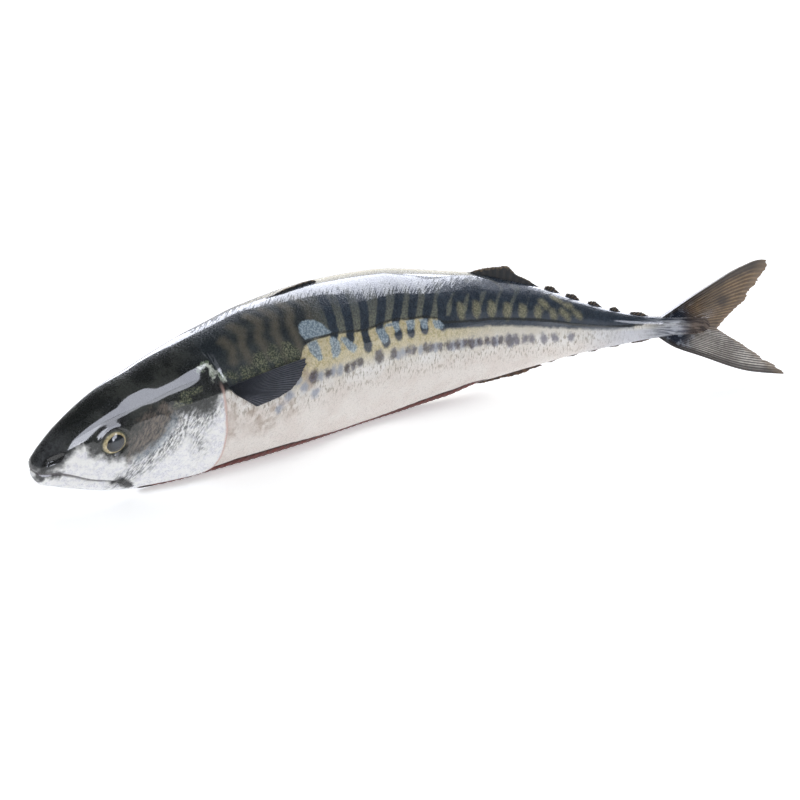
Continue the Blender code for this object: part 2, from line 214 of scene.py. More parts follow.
# Blue-grey patches, each the corners of an area.
PATCHES = (
    ((106.5, 48), (107, 42), (109.5, 39.5), (113, 40.5), (116.5, 45), (119.5, 53),
     (120.5, 56), (112.5, 55), (108, 54.5)),
    ((108, 57.5), (113, 57), (114, 72), (112, 72.5), (109, 66)),
    ((118.5, 58.5), (121, 59), (123.2, 64), (123, 71), (121, 74.5), (118.5, 74)),
    ((123.5, 60), (127, 63), (131.8, 71), (130, 75), (127, 72), (124.5, 64)),
    ((143, 62), (148, 63), (150, 70), (149, 74.5), (146, 74), (144, 68)),
    ((148, 60.5), (157, 60), (157.5, 66), (154.5, 69), (153.5, 63), (148.5, 62.5)),
    ((160, 60.5), (167, 61), (166, 68.5), (162, 69), (161.5, 63)),
    ((169.5, 61.5), (174.5, 62), (174, 70), (171, 70)),
    ((177, 63), (182, 63.5), (184.5, 69), (181.5, 72), (178.5, 70)),
)
BLUE_SPOTS = (
    (118.3, 83), (122, 83.5), (112, 83), (155, 85), (158, 84.5), (169, 85.5),
    (178.5, 86), (189.5, 86.5), (195, 87), (203.5, 88.5), (216.5, 92), (226, 93.5),
    (102, 81), (98, 90), (104.5, 88), (93.5, 98), (110, 95),
)
# Brownish gaps of the front back, and olive marks: each a line.
BROWN_LINES = (
    ((76, 28), (78, 38), (77, 50)),
    ((82, 16), (84.5, 28), (82, 42), (83.5, 54)),
    ((90, 14), (92.5, 26), (89.5, 40), (91, 56)),
    ((97, 14), (99.5, 28), (96.5, 42), (98, 62)),
    ((105, 14), (107, 26), (104, 38), (104.5, 60)),
    ((113, 14), (115.5, 28), (114, 38)),
    ((119.5, 12), (119, 30), (117, 40)),
)
OLIVE_MARKS = (
    (((80, 61), (82, 66)), 2.2),
    (((86.5, 56), (88.5, 66)), 2.4),
    (((93, 55), (95, 66)), 2.4),
    (((99.5, 56), (102, 66)), 2.6),
    (((54, 58.5), (60.5, 60)), 0.9),
    (((51.5, 64.5), (56.5, 64.5)), 1),
    (((74, 58), (76, 62)), 1.3),
)
REAR_BLOBS = (
    (((196, 53), (195.5, 61)), 1.9),
    (((205.5, 53), (204.5, 61)), 2),
    (((214.5, 54), (213.5, 62)), 2),
    (((223.5, 55), (222.5, 63)), 2.1),
    (((232, 55), (231.5, 62)), 2),
    (((240, 55), (239.5, 62)), 1.8),
    (((247, 57), (247.5, 61)), 1.7),
    (((242, 42), (244, 46)), 1.6),
    (((252.5, 54), (254, 58)), 1.8),
    (((258.5, 50), (260, 54)), 1.4),
    (((248, 26), (251, 30)), 1.5),
    (((254, 38), (256, 36)), 1.5),
)
# Pale marks: the gill's top, and the cheek's blue-grey band.
PALE_MARKS = (
    (((65, 41), (66.8, 46), (67.2, 54)), 0.9),
    (((70.5, 55), (71.5, 61)), 0.8),
    (((62, 44), (64, 43)), 0.8),
)
# Brownish mottles behind the gill and under the fin of the flank.
SMUDGES = (
    (((79, 88), (84, 98), (88, 108)), 4),
    (((92, 96), (99, 100)), 3),
    (((104, 74), (108, 86)), 2.6),
    (((75, 84), (76, 104)), 2),
)
CHEEK_BAND = (((50, 76), (47.5, 86), (44, 94), (40, 99), (36, 103)), 1.5)
CHEEK_AREA = (
    (33, 78), (40, 64), (46, 64), (50, 70), (49.5, 79), (46, 90),
    (40, 98), (34, 100),
)
DARK_MARKS = (
    (((2.8, 62), (5.5, 68), (8.5, 72)), 1.5),
    (((23.5, 62), (27, 58), (30, 60)), 2.2),
    (((1, 92), (1.5, 112), (1.5, 124)), 1.5),
    (((28.5, 134), (30.5, 133), (33.5, 142), (35.5, 150)), 1.5),
    (((67, 64), (69, 66), (71, 67)), 1.7),
    (((0.8, 96), (4, 103), (8, 111)), 0.8),
)
# Grey mottled bands of the silver head: behind the jaw's end and along the gill cover's top.
MOTTLE_LINES = (
    (((31, 134), (37, 112), (42.5, 104), (48, 95), (52, 84)), 4.2),
    (((52, 78), (58, 80), (63, 80)), 5),
    (((56, 86), (58.5, 98), (61, 112)), 1.8),
)
# Lower edge of the wettest strip of the back: distance and angle.
SHINE_EDGE = (
    (68, 3), (84, 4), (100, 8), (114, 15), (128, 23), (153, 33),
    (174, 36), (186, 29), (196, 21), (208, 15), (218, 9), (232, 5),
    (245, 20),
    (322, 24),
)
FAR = 99.0
DEEPEST = 8.0
EYE_TOP = 1.15
WAY_OFF = 20.0
TABLE_REACH = (1.3, 3.5)
TABLE_TINT = (0.97, 0.985, 1.0)
WHITE = (1.0, 1.0, 1.0)
CAMERA_PLACE = Vector((-0.29138, -0.52636, 0.24017))
CAMERA_TARGET = Vector((-0.02351, -0.02522, 0.01992))
CAMERA_ROLL = 1.04

# Lights stand this far from the point that they aim at, in metres.
LIGHT_DISTANCE = 4.0
LIGHT_AIM = Vector((-0.03, 0.0, 0.03))
# White cards that the wet skin mirrors: the setting that lights each one, a share of it, a tint,
# and rows of two directions, each an azimuth and an elevation.
LAVENDER = (0.86, 0.89, 1.0)
CREAM = (1.0, 0.96, 0.84)
CARDS = (
    ("snout_card", "head_light", 1.7, LAVENDER,
     ((-99, 8, -90, 8), (-102, 20, -90, 20), (-103, 27, -90, 27))),
    ("head_card", "head_light", 1.0, LAVENDER,
     ((-90, 21, -80, 21), (-90, 24, -76, 24), (-90, 27, -74, 27))),
    ("brow_card", "head_light", 1.15, (0.84, 0.87, 1.0),
     ((-104, 27, -74, 27), (-104, 34, -73, 34), (-102, 38, -72, 38), (-96, 41, -70, 41),
      (-89, 45, -68, 45), (-88, 52, -67, 52), (-84, 60, -66, 60))),
    ("back_card", "back_light", 1.1, LAVENDER,
     ((-10, 34, -10, 43), (-4, 36, -4, 44), (0, 38, 0, 46), (10, 39, 10, 47.5), (20, 38, 20, 50),
      (30, 36, 30, 54), (38, 33, 38, 57), (47, 32, 47, 57), (57, 28, 57, 54), (63, 28, 63, 49),
      (71, 26, 71, 44), (76, 14, 76, 42), (80, 4, 80, 40), (89, 4, 89, 38))),
    ("rim_card", "back_light", 0.32, CREAM,
     ((44.5, 1, 44.5, 31), (50, 1, 50, 30), (57, 1, 57, 27), (63, 1, 63, 27), (71, 1, 71, 25),
      (76, 1, 76, 13))),
    ("ridge_card", "back_light", 1.5, LAVENDER,
     ((12, 3, 12, 34), (20, 3, 20, 37), (30, 3, 30, 35), (38, 3, 38, 32), (44, 3, 44, 31))),
)
# Panels of light: azimuth, elevation, width and height in degrees, and a share of the radiance.
SOFT_PANELS = (
    ("front_fill", -100.0, 46.0, (60.0, 50.0), 1.16),
    ("rear_key", 60.0, 62.0, (60.0, 50.0), 1.3),
)


def smooth(knots, values, x):
    """Monotone cubic curve through the knots, level beyond the two ends."""
    k = np.asarray(knots, float)
    v = np.asarray(values, float)
    step = np.diff(k)
    slope = np.diff(v) / step
    tangent = np.zeros_like(v)
    tangent[0] = slope[0]
    tangent[-1] = slope[-1]
    same = slope[:-1] * slope[1:] > 0
    w1 = 2 * step[1:] + step[:-1]
    w2 = step[1:] + 2 * step[:-1]
    with np.errstate(divide="ignore", invalid="ignore"):
        mean = (w1 + w2) / (w1 / slope[:-1] + w2 / slope[1:])
    tangent[1:-1] = np.where(same, mean, 0.0)
    x = np.clip(np.asarray(x, float), k[0], k[-1])
    i = np.clip(np.searchsorted(k, x, side="right") - 1, 0, len(k) - 2)
    t = (x - k[i]) / step[i]
    return (
        v[i] * (1 + 2 * t) * (1 - t) ** 2
        + v[i + 1] * t * t * (3 - 2 * t)
        + step[i] * (tangent[i] * t * (1 - t) ** 2 - tangent[i + 1] * t * t * (1 - t))
    )


def along(table, x):
    """The table's second column at x, which runs along its first one."""
    return smooth([row[0] for row in table], [row[1] for row in table], x)


def path(points, t):
    """Pairs on a curve through the points, for t from 0 at the first to 1 at the last."""
    chords = np.hypot(*np.diff(np.array(points), axis=0).T)
    knots = np.concatenate([[0.0], np.cumsum(chords)]) / chords.sum()
    return np.stack([smooth(knots, [p[i] for p in points], t) for i in (0, 1)], -1)


def ramp(x, low, high):
    """0 at low, 1 at high, with an even slope at both ends."""
    t = np.clip((x - low) / (high - low), 0.0, 1.0)
    return t * t * (3 - 2 * t)


def window(x, span):
    """Rises from 0 to 1 between the span's first two values and falls between its last two."""
    return ramp(x, span[0], span[1]) * (1 - ramp(x, span[2], span[3]))


def hump(x, half_width):
    """1 at x = 0, down to 0 at the half width on both sides."""
    return np.clip(1 - (x / half_width) ** 2, 0.0, 1.0) ** 2


def spine_table():
    """Distance, x and y at even steps along the spine."""
    d = np.arange(SPINE_START, SPINE_END, SPINE_STEP)
    heading = np.radians(along(HEADINGS, d))
    mid = (heading[1:] + heading[:-1]) / 2
    x = np.concatenate([[0.0], np.cumsum(SPINE_STEP * np.cos(mid))])
    y = np.concatenate([[0.0], np.cumsum(SPINE_STEP * np.sin(mid))])
    snout = np.argmin(np.abs(d))
    return d, SNOUT_X + x - x[snout], SNOUT_Y + y - y[snout]


SPINE = spine_table()


def place(d, side, z):
    """Point in millimetres beside the spine: side is positive towards the right flank."""
    x = np.interp(d, SPINE[0], SPINE[1])
    y = np.interp(d, SPINE[0], SPINE[2])
    heading = np.radians(along(HEADINGS, d))
    return np.stack(
        np.broadcast_arrays(x - np.sin(heading) * side, y + np.cos(heading) * side, z), -1
    )


def section_at(d):
    """Depth, height of the belly line and half width of the body."""
    distances = [row[0] for row in SECTIONS]
    depth, belly, share = (smooth(distances, [row[i] for row in SECTIONS], d) for i in (1, 2, 3))
    return depth, belly, depth * share / 2


def oval_point(d, theta, lift):
    """Point of the body's oval at this distance and angle in radians, moved out by lift."""
    depth, belly, half_width = section_at(d)
    egg = EGG_HEAD + (EGG_BODY - EGG_HEAD) * ramp(d, *EGG_SPAN)
    side = half_width * np.sin(theta) * (1 + egg * np.cos(theta))
    z = belly + depth / 2 * (1 + np.cos(theta))
    out_side = np.sin(theta) / half_width
    out_up = np.cos(theta) / (depth / 2)
    length = np.hypot(out_side, out_up)
    return place(d, side + lift * out_side / length, z + lift * out_up / length)


def girth(d, angle):
    """Length round the body from the ridge to an angle in degrees."""
    depth, _, half_width = section_at(d)
    return np.radians(angle) * (depth / 2 + half_width) / 2


def gill_shift(ring, angle):
    """How far a ring bows so that one of the rings follows the gill cover's rear edge."""
    nearness = 1 - ramp(np.abs(ring - GILL_RING), 0.0, GILL_REACH)
    return nearness * (along(GILL_EDGE, angle) - GILL_RING)


def head_relief(ring, d, angle):
    """Gill cover, crease, jaws, nostril and eye socket: height over the plain oval."""
    gap_round = girth(d, angle)
    rise = ramp(ring, *GILL_SWELL) * (1 - ramp(ring, GILL_RING, GILL_RING + 0.5))
    mouth = girth(d, along(MOUTH_LINE, d))
    below_mouth = gap_round - mouth
    open_mouth = 1 - ramp(d, *MOUTH_CORNER)
    crease = d - along(CREASE_LINE, angle)
    eye = np.hypot(d - EYE_DISTANCE, (angle - EYE_ANGLE) * EYE_RADIUS / EYE_HALF_ANGLE)
    jaw_plate = area_depth(d, gap_round, JAW_PLATE)
    nostril = stroke_depth(d, gap_round, ((4.0, 64.0), (7.5, 70.0)), 1.2)
    return (
        GILL_STEP * window(angle, GILL_ANGLES) * rise
        - 0.35 * window(angle, GILL_ANGLES) * hump(ring - GILL_RING - 1.5, 1.2)
        - 0.5 * hump(below_mouth, 2.6) * open_mouth
        - 0.7 * hump(below_mouth, 0.75) * open_mouth
        + 0.45 * ramp(jaw_plate, 0.0, 0.9)
        - 0.6 * hump(crease, 4.5) * window(angle, CREASE_ANGLES)
        - 0.3 * hump(crease, 0.9) * window(angle, CREASE_ANGLES)
        + 0.6 * hump(eye, 9.0) * ramp(eye, EYE_RADIUS - 0.5, EYE_RADIUS + 0.3)
        + 0.15 * hump(eye - EYE_RADIUS - 0.9, 1.0)
        - 1.4 * (1 - ramp(eye, EYE_RADIUS - 0.7, EYE_RADIUS + 0.1))
        - 0.7 * ramp(nostril, 0.0, 1.0)
    )


def cut_inside(d, angle):
    """How far under the upper lip of the belly cut a place lies, in millimetres."""
    return np.where(angle < 0, girth(d, -angle - along(CUT_LINE, d)), -FAR)


def cut_relief(d, angle):
    """The open cut along the belly's left side, a step down at its upper lip."""
    closing = 1 - ramp(-angle, -CUT_LOW_ANGLE - 4.0, -CUT_LOW_ANGLE + 2.0)
    return -1.1 * window(d, CUT_SPAN) * ramp(cut_inside(d, angle), -0.3, 0.6) * closing


def keel_relief(d, z):
    """The ridges at the tail's root."""
    reach = hump(d - (KEEL_START + KEEL_END) / 2, (KEEL_END - KEEL_START) / 2)
    return 1.1 * reach * sum(hump(z - height, KEEL_HALF_HEIGHT) for height in KEEL_HEIGHTS)


def skin_point(ring, angle):
    """Point of the skin and its true distance, for a ring and a signed angle in degrees."""
    over = np.abs(angle)
    d = ring + gill_shift(ring, over)
    theta = np.radians(angle)
    z = oval_point(d, theta, 0.0)[..., 2]
    lift = head_relief(ring, d, over) + cut_relief(d, angle) + keel_relief(d, z)
    point = oval_point(d, theta, lift)
    point[..., 2] = np.maximum(point[..., 2], 0.0)
    return point, d


def runs(table):
    """All the values of a table of first value, last value and step."""
    return np.concatenate([np.arange(a, b + step / 2, step) for a, b, step in table])


def stroke_depth(d, s, line, half_width):
    """How far inside a stroke each place lies: line holds distances and angles, s is the girth."""
    knots = [(p[0], float(girth(p[0], p[1]))) for p in line]
    if len(knots) == 1:
        knots = knots * 2
    nearest = np.full(np.shape(d), FAR)
    for (d0, s0), (d1, s1) in zip(knots[:-1], knots[1:]):
        reach = max((d1 - d0) ** 2 + (s1 - s0) ** 2, 1e-9)
        t = np.clip(((d - d0) * (d1 - d0) + (s - s0) * (s1 - s0)) / reach, 0.0, 1.0)
        gap = np.hypot(d - d0 - t * (d1 - d0), s - s0 - t * (s1 - s0))
        nearest = np.minimum(nearest, gap)
    return half_width - nearest


def area_depth(d, s, corners):
    """How far inside an area each place lies, negative outside."""
    knots = [(p[0], float(girth(p[0], p[1]))) for p in corners]
    inside = np.zeros(np.shape(d), bool)
    for (d0, s0), (d1, s1) in zip(knots, knots[1:] + knots[:1]):
        if s0 == s1:
            continue
        crosses = (s0 > s) != (s1 > s)
        inside ^= crosses & (d < d0 + (s - s0) * (d1 - d0) / (s1 - s0))
    edge = -stroke_depth(d, s, list(corners) + [corners[0]], 0.0)
    return np.where(inside, edge, -edge)


def deepest(fields):
    return np.clip(np.maximum.reduce(list(fields)), -DEEPEST, DEEPEST)


def flank_fields(d, angle):
    """Every marking of the skin as a depth in millimetres, over zero inside the marking."""
    over = np.abs(angle)
    left = angle < 0
    # The right flank carries the same kind of bars, shifted and bent a little differently.
    bent = np.where(left, d, d + 3.0 * np.sin(d / 11.0) + 2.0 * np.sin(d / 4.7 + 1.0))
    body = ramp(d, 78.0, 100.0)
    d_mark = np.where(left, d, d + (bent - d) * body)
    s = girth(d, over)
    gill = np.interp(over, *np.array(GILL_EDGE).T) - d

    def strokes(at, lines):
        return deepest(stroke_depth(at, s, line, width) for line, width in lines)

    bars = [(line, BAR_HALF_WIDTH * (1 + 0.12 * (line[0][0] > 180))) for line in BARS]
    sizes = [SPOT_SIZES[i % len(SPOT_SIZES)] for i in range(len(SPOT_ROW))]
    return {
        "along": d,
        "girth": girth(d, angle),
        "angle": over,
        "head": gill,
        "back": girth(d, np.interp(d_mark, *np.array(BACK_EDGE).T)) - s,
        "belly": s - girth(d, np.interp(d_mark, *np.array(BELLY_EDGE).T)),
        "bars": strokes(d_mark, bars + [((drop,), 2.5) for drop in DROPS]),
        "spots": strokes(d_mark, [((spot,), size) for spot, size in zip(SPOT_ROW, sizes)]),
        "patch": np.where(left, deepest(area_depth(d, s, p) for p in PATCHES), -DEEPEST),
        "blue": strokes(d_mark, [((spot,), 1.8) for spot in BLUE_SPOTS]),
        "brown": strokes(d_mark, [(line, 1.6) for line in BROWN_LINES]),
        "olive": strokes(d_mark, OLIVE_MARKS),
        "blobs": strokes(d_mark, REAR_BLOBS),
        "pale": strokes(d, PALE_MARKS),
        "band": stroke_depth(d, s, *CHEEK_BAND),
        "cheek": area_depth(d, s, CHEEK_AREA),
        "dark": strokes(d, DARK_MARKS),
        "shine": along(SHINE_EDGE, d) - over,
        "smudge": strokes(d, SMUDGES),
        "grime": strokes(d, MOTTLE_LINES),
        "line": stroke_depth(d, s, LATERAL_LINE, 0.5),
        "mouth": 0.55 - np.abs(s - girth(d, along(MOUTH_LINE, d))) - WAY_OFF * ramp(d, 28.0, 30.0),
        "gill": 0.9 - np.abs(gill + 0.2) - WAY_OFF * (1 - window(over, GILL_ANGLES)),
        "cut": np.minimum(
            cut_inside(d, angle), girth(d, angle - CUT_LOW_ANGLE)
        ) - 9 * (1 - ramp(window(d, CUT_SPAN), 0.0, 0.3)),
    }


def new_object(name, points, faces, values=None, material=None, smooth_angle=None):
    """Object from points in millimetres, with values kept as attributes of its points."""
    mesh = bpy.data.meshes.new(name)
    mesh.from_pydata([tuple(p) for p in np.asarray(points).reshape(-1, 3) * MM], [], faces)
    for key, value in (values or {}).items():
        layer = mesh.attributes.new(key, "FLOAT", "POINT")
        layer.data.foreach_set("value", np.asarray(value, np.float32).ravel())
    made = bpy.data.objects.new(name, mesh)
    bpy.context.scene.collection.objects.link(made)
    mesh.shade_smooth()
    if smooth_angle:
        mesh.set_sharp_from_angle(angle=np.radians(smooth_angle))
    if material:
        mesh.materials.append(material)
    return made


def belongs(piece):
    """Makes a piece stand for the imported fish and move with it."""
    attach(piece, "root")
    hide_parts(NODE)
    return piece


def outward(obj):
    """Turns the faces of a closed mesh outwards."""
    shape = bmesh.new()
    shape.from_mesh(obj.data)
    bmesh.ops.recalc_face_normals(shape, faces=shape.faces)
    shape.to_mesh(obj.data)
    shape.free()
    return obj


def ring_faces(rings, count):
    """Quads between closed rings of points, one ring after the other."""
    faces = []
    for i in range(rings - 1):
        for j in range(count):
            k = (j + 1) % count
            faces.append((i * count + j, i * count + k, (i + 1) * count + k, (i + 1) * count + j))
    return faces


def plate(name, middle, thickness, put, values, material):
    """Closed thin solid: middle is a grid of pairs, and put(a, b, offset) makes its points."""
    rows, columns = middle.shape[:2]
    sides = [put(middle[..., 0], middle[..., 1], s * thickness / 2) for s in (1, -1)]
    points = np.concatenate([side.reshape(-1, 3) for side in sides])
    half = rows * columns
    faces = []
    for i in range(rows - 1):
        for j in range(columns - 1):
            a = i * columns + j
            quad = (a, a + 1, a + columns + 1, a + columns)
            faces.append(quad)
            faces.append(tuple(half + v for v in reversed(quad)))
    rim = list(range(columns))
    rim += [i * columns + columns - 1 for i in range(1, rows)]
    rim += [(rows - 1) * columns + j for j in range(columns - 2, -1, -1)]
    rim += [i * columns for i in range(rows - 2, 0, -1)]
    for here, following in zip(rim, rim[1:] + rim[:1]):
        faces.append((following, here, half + here, half + following))
    values = {k: np.concatenate([np.ravel(v), np.ravel(v)]) for k, v in values.items()}
    return outward(new_object(name, points, faces, values, material, 50.0))


def ragged(columns, depth, seed):
    """Share of the way to the margin at which each column of a torn fin ends."""
    rng = np.random.default_rng(seed)
    notches = max(4, columns // 6)
    coarse = np.interp(
        np.linspace(0, 1, columns), np.linspace(0, 1, notches), rng.random(notches)
    )
    return 1 - depth * (0.6 * coarse + 0.4 * rng.random(columns))


def middle_plane(d, z, offset):
    return place(d, offset, z)


def middle_fin(name, lines, thickness, columns, rows, rays, torn, seed, material):
    """Upright fin with rays and a torn margin."""
    reach = ragged(columns, torn, seed)
    t = np.linspace(0.0, 1.0, columns)
    way = np.linspace(0.0, 1.0, rows)[:, None] * reach[None, :]
    base, margin = path(lines[0], t), path(lines[1], t)
    grid = base[None] * (1 - way[..., None]) + margin[None] * way[..., None]
    ridge = 0.5 + 0.5 * np.cos(2 * np.pi * rays * t)[None, :]
    thick = (thickness[0] + (thickness[1] - thickness[0]) * way) * (0.55 + 0.45 * ridge)
    values = {"way": way, "rays": ridge * np.ones_like(way)}
    return belongs(plate(name, grid, thick, middle_plane, values, material))


def finlets(side, table, size, seed, material):
    """Row of small fins behind a fin of the back or of the belly."""
    columns, rows = size
    for i, (start, rise, length) in enumerate(table):
        lines = finlet_lines(start, rise, length, side == "dorsal")
        name = f"{side}_finlet_{i + 1}"
        middle_fin(name, lines, (1.2, 0.35), columns, rows, 4, 0.3, seed + i, material)


def finlet_lines(start, rise, length, upward):
    """Base and margin of a small fin that trails from the ridge of the back or belly."""
    base_end = start + FINLET_BASE * length
    d = np.array([start, (start + base_end) / 2, base_end, start + length])
    depth, belly, _ = section_at(d)
    surface = belly + depth if upward else belly
    out = 1.0 if upward else -1.0
    base = [(d[i], surface[i] - out * FINLET_SINK) for i in range(3)]
    margin = (
        (start + 0.12 * length, surface[0] + out * 0.55 * rise),
        (start + 0.45 * length, surface[1] + out * rise),
        (d[3], surface[3] + out * 0.12 * rise),
    )
    return base, margin


def lobe(edge, rear, root_half, columns, rows):
    """Half of the tail fin's grid: rays fan out from the root to the lobe's rear margin."""
    t = np.linspace(0.0, 1.0, columns)
    way = np.linspace(0.0, 1.0, rows)[:, None]
    share = way[..., None]
    straight = path(root_half, t)[None] * (1 - share) + path(rear, t)[None] * share
    bow = path(edge, way[:, 0]) - straight[:, 0]
    return straight + bow[:, None, :] * ((1 - t) ** 2)[None, :, None]


class Tree:
    """Adds nodes to a node tree. A value is a number, a colour or another node's socket."""

    def __init__(self, tree):
        self.tree = tree

    def add(self, kind, values=None, **settings):
        node = self.tree.nodes.new(kind)
        for key, value in settings.items():
            setattr(node, key, value)
        for key, value in (values or {}).items():
            self.put(node.inputs[key], value)
        return node

    def put(self, socket, value):
        if isinstance(value, bpy.types.NodeSocket):
            self.tree.links.new(value, socket)
        elif socket.type == "RGBA":
            socket.default_value = (*tuple(value)[:3], 1.0)
        else:
            socket.default_value = value

    def math(self, operation, first, second=0.0):
        return self.add("ShaderNodeMath", {0: first, 1: second}, operation=operation).outputs[0]

    def plus(self, first, second):
        return self.math("ADD", first, second)

    def minus(self, first, second):
        return self.math("SUBTRACT", first, second)

    def times(self, value, *shares):
        for share in shares:
            value = self.math("MULTIPLY", value, share)
        return value

    def mix(self, low, high, share):
        """Colour between low and high."""
        values = {0: share, 6: low, 7: high}
        return self.add("ShaderNodeMix", values, data_type="RGBA").outputs[2]

    def rise(self, value, low, high, top=1.0):
        """0 at low and top at high, smooth between."""
        values = {0: value, 1: low, 2: high, 3: 0.0, 4: top}
        return self.add(
            "ShaderNodeMapRange", values, interpolation_type="SMOOTHSTEP"
        ).outputs[0]

    def field(self, name):
        return self.add("ShaderNodeAttribute", attribute_name=name).outputs["Fac"]

    def flat(self, x, y):
        return self.add("ShaderNodeCombineXYZ", {0: x, 1: y}).outputs[0]

    def noise(self, vector, scale, detail=2.0, roughness=0.5):
        values = {"Vector": vector, "Scale": scale, "Detail": detail, "Roughness": roughness}
        return self.add("ShaderNodeTexNoise", values).outputs["Fac"]

    @cached_property
    def place(self):
        return self.add("ShaderNodeTexCoord").outputs["Object"]

    def group(self, name, values):
        return self.add(
            "ShaderNodeGroup", {"Place": self.place, **values},
            node_tree=bpy.data.node_groups[name],
        ).outputs

    def mottle(self, grain, low, high):
        return self.group("mottle", {"Grain": grain, "Low": low, "High": high})["Mask"]

    def bump(self, height, distance):
        values = {"Height": height, "Distance": distance}
        return self.add("ShaderNodeBump", values).outputs[0]


def new_group(name, inputs, outputs):
    """Node group with a vector Place, numbers with their defaults, and numbers as outputs."""
    group = bpy.data.node_groups.new(name, "ShaderNodeTree")
    group.interface.new_socket("Place", in_out="INPUT", socket_type="NodeSocketVector")
    for key, default in inputs.items():
        socket = group.interface.new_socket(key, in_out="INPUT", socket_type="NodeSocketFloat")
        socket.default_value = default
    for key in outputs:
        group.interface.new_socket(key, in_out="OUTPUT", socket_type="NodeSocketFloat")
    tree = Tree(group)
    return tree, tree.add("NodeGroupInput").outputs, tree.add("NodeGroupOutput").inputs


def make_groups():
    """The effects that several materials share."""
    inputs = {"Depth": 0.0, "Wobble": 0.8, "Softness": 0.5, "Grain": 700.0}
    tree, given, result = new_group("worn_edge", inputs, ("Mask",))
    noise = tree.noise(given["Place"], given["Grain"], 3.0, 0.6)
    shift = tree.times(tree.minus(noise, 0.5), given["Wobble"], 2.0)
    depth = tree.plus(given["Depth"], shift)
    low = tree.times(given["Softness"], -1.0)
    tree.put(result["Mask"], tree.rise(depth, low, given["Softness"]))

    inputs = {"Grain": 500.0, "Low": 0.45, "High": 0.6}
    tree, given, result = new_group("mottle", inputs, ("Mask",))
    noise = tree.noise(given["Place"], given["Grain"], 4.0, 0.6)
    tree.put(result["Mask"], tree.rise(noise, given["Low"], given["High"]))

    tree, given, result = new_group("scale_grain", {"Grain": 1300.0}, ("Mask", "Height"))
    values = {"Vector": given["Place"], "Scale": given["Grain"]}
    cells = tree.add("ShaderNodeTexVoronoi", values).outputs["Distance"]
    tree.put(result["Mask"], tree.rise(cells, 0.35, 0.65))
    tree.put(result["Height"], cells)

    # Slanting strokes break the wet film where Shine is low.
    inputs = {"Along": 0.0, "Girth": 0.0, "Shine": 0.0, "Wetness": 1.0}
    tree, given, result = new_group("wet_film", inputs, ("Coat", "Height"))
    lean = tree.plus(given["Along"], given["Girth"])
    cross = tree.minus(given["Along"], given["Girth"])
    fine = tree.noise(tree.flat(tree.times(lean, 0.09), cross), 1.0, 4.0, 0.7)
    wide = tree.noise(given["Place"], 120.0)
    tree.put(result["Height"], tree.plus(fine, tree.times(wide, 0.6)))
    strokes = tree.rise(tree.plus(fine, tree.times(given["Shine"], 0.012)), 0.48, 0.52)
    coat = tree.plus(tree.times(strokes, 0.88), 0.12)
    tree.put(result["Coat"], tree.times(given["Wetness"], coat))

    inputs = {"Rays": 0.0, "Way": 0.0}
    tree, given, result = new_group("fin_rays", inputs, ("Ray", "Margin", "Height"))
    fleck = tree.noise(given["Place"], 900.0, 3.0, 0.6)
    shift = tree.minus(fleck, 0.5)
    ray = tree.plus(given["Rays"], tree.times(shift, 0.6))
    margin = tree.plus(given["Way"], tree.times(shift, 0.5))
    tree.put(result["Ray"], tree.rise(ray, 0.45, 0.85))
    tree.put(result["Margin"], tree.rise(margin, 0.78, 1.05))
    tree.put(result["Height"], tree.plus(ray, tree.times(fleck, 0.3)))


def srgb(red, green, blue):
    """Linear colour from display values of 0 to 255."""
    c = np.array((red, green, blue)) / 255.0
    return tuple(float(v) for v in np.where(c <= 0.04045, c / 12.92, ((c + 0.055) / 1.055) ** 2.4))


def new_material(name, roughness, coat_roughness=0.06, coat_ior=1.6):
    """Wet material: its tree, and its shader."""
    material = bpy.data.materials.new(name)
    material.use_nodes = True
    shader = material.node_tree.nodes["Principled BSDF"]
    shader.inputs["Roughness"].default_value = roughness
    shader.inputs["Coat Weight"].default_value = 1.0
    shader.inputs["Coat Roughness"].default_value = coat_roughness
    shader.inputs["Coat IOR"].default_value = coat_ior
    shader.inputs["Specular IOR Level"].default_value = 0.15
    return material, Tree(material.node_tree), shader.inputs


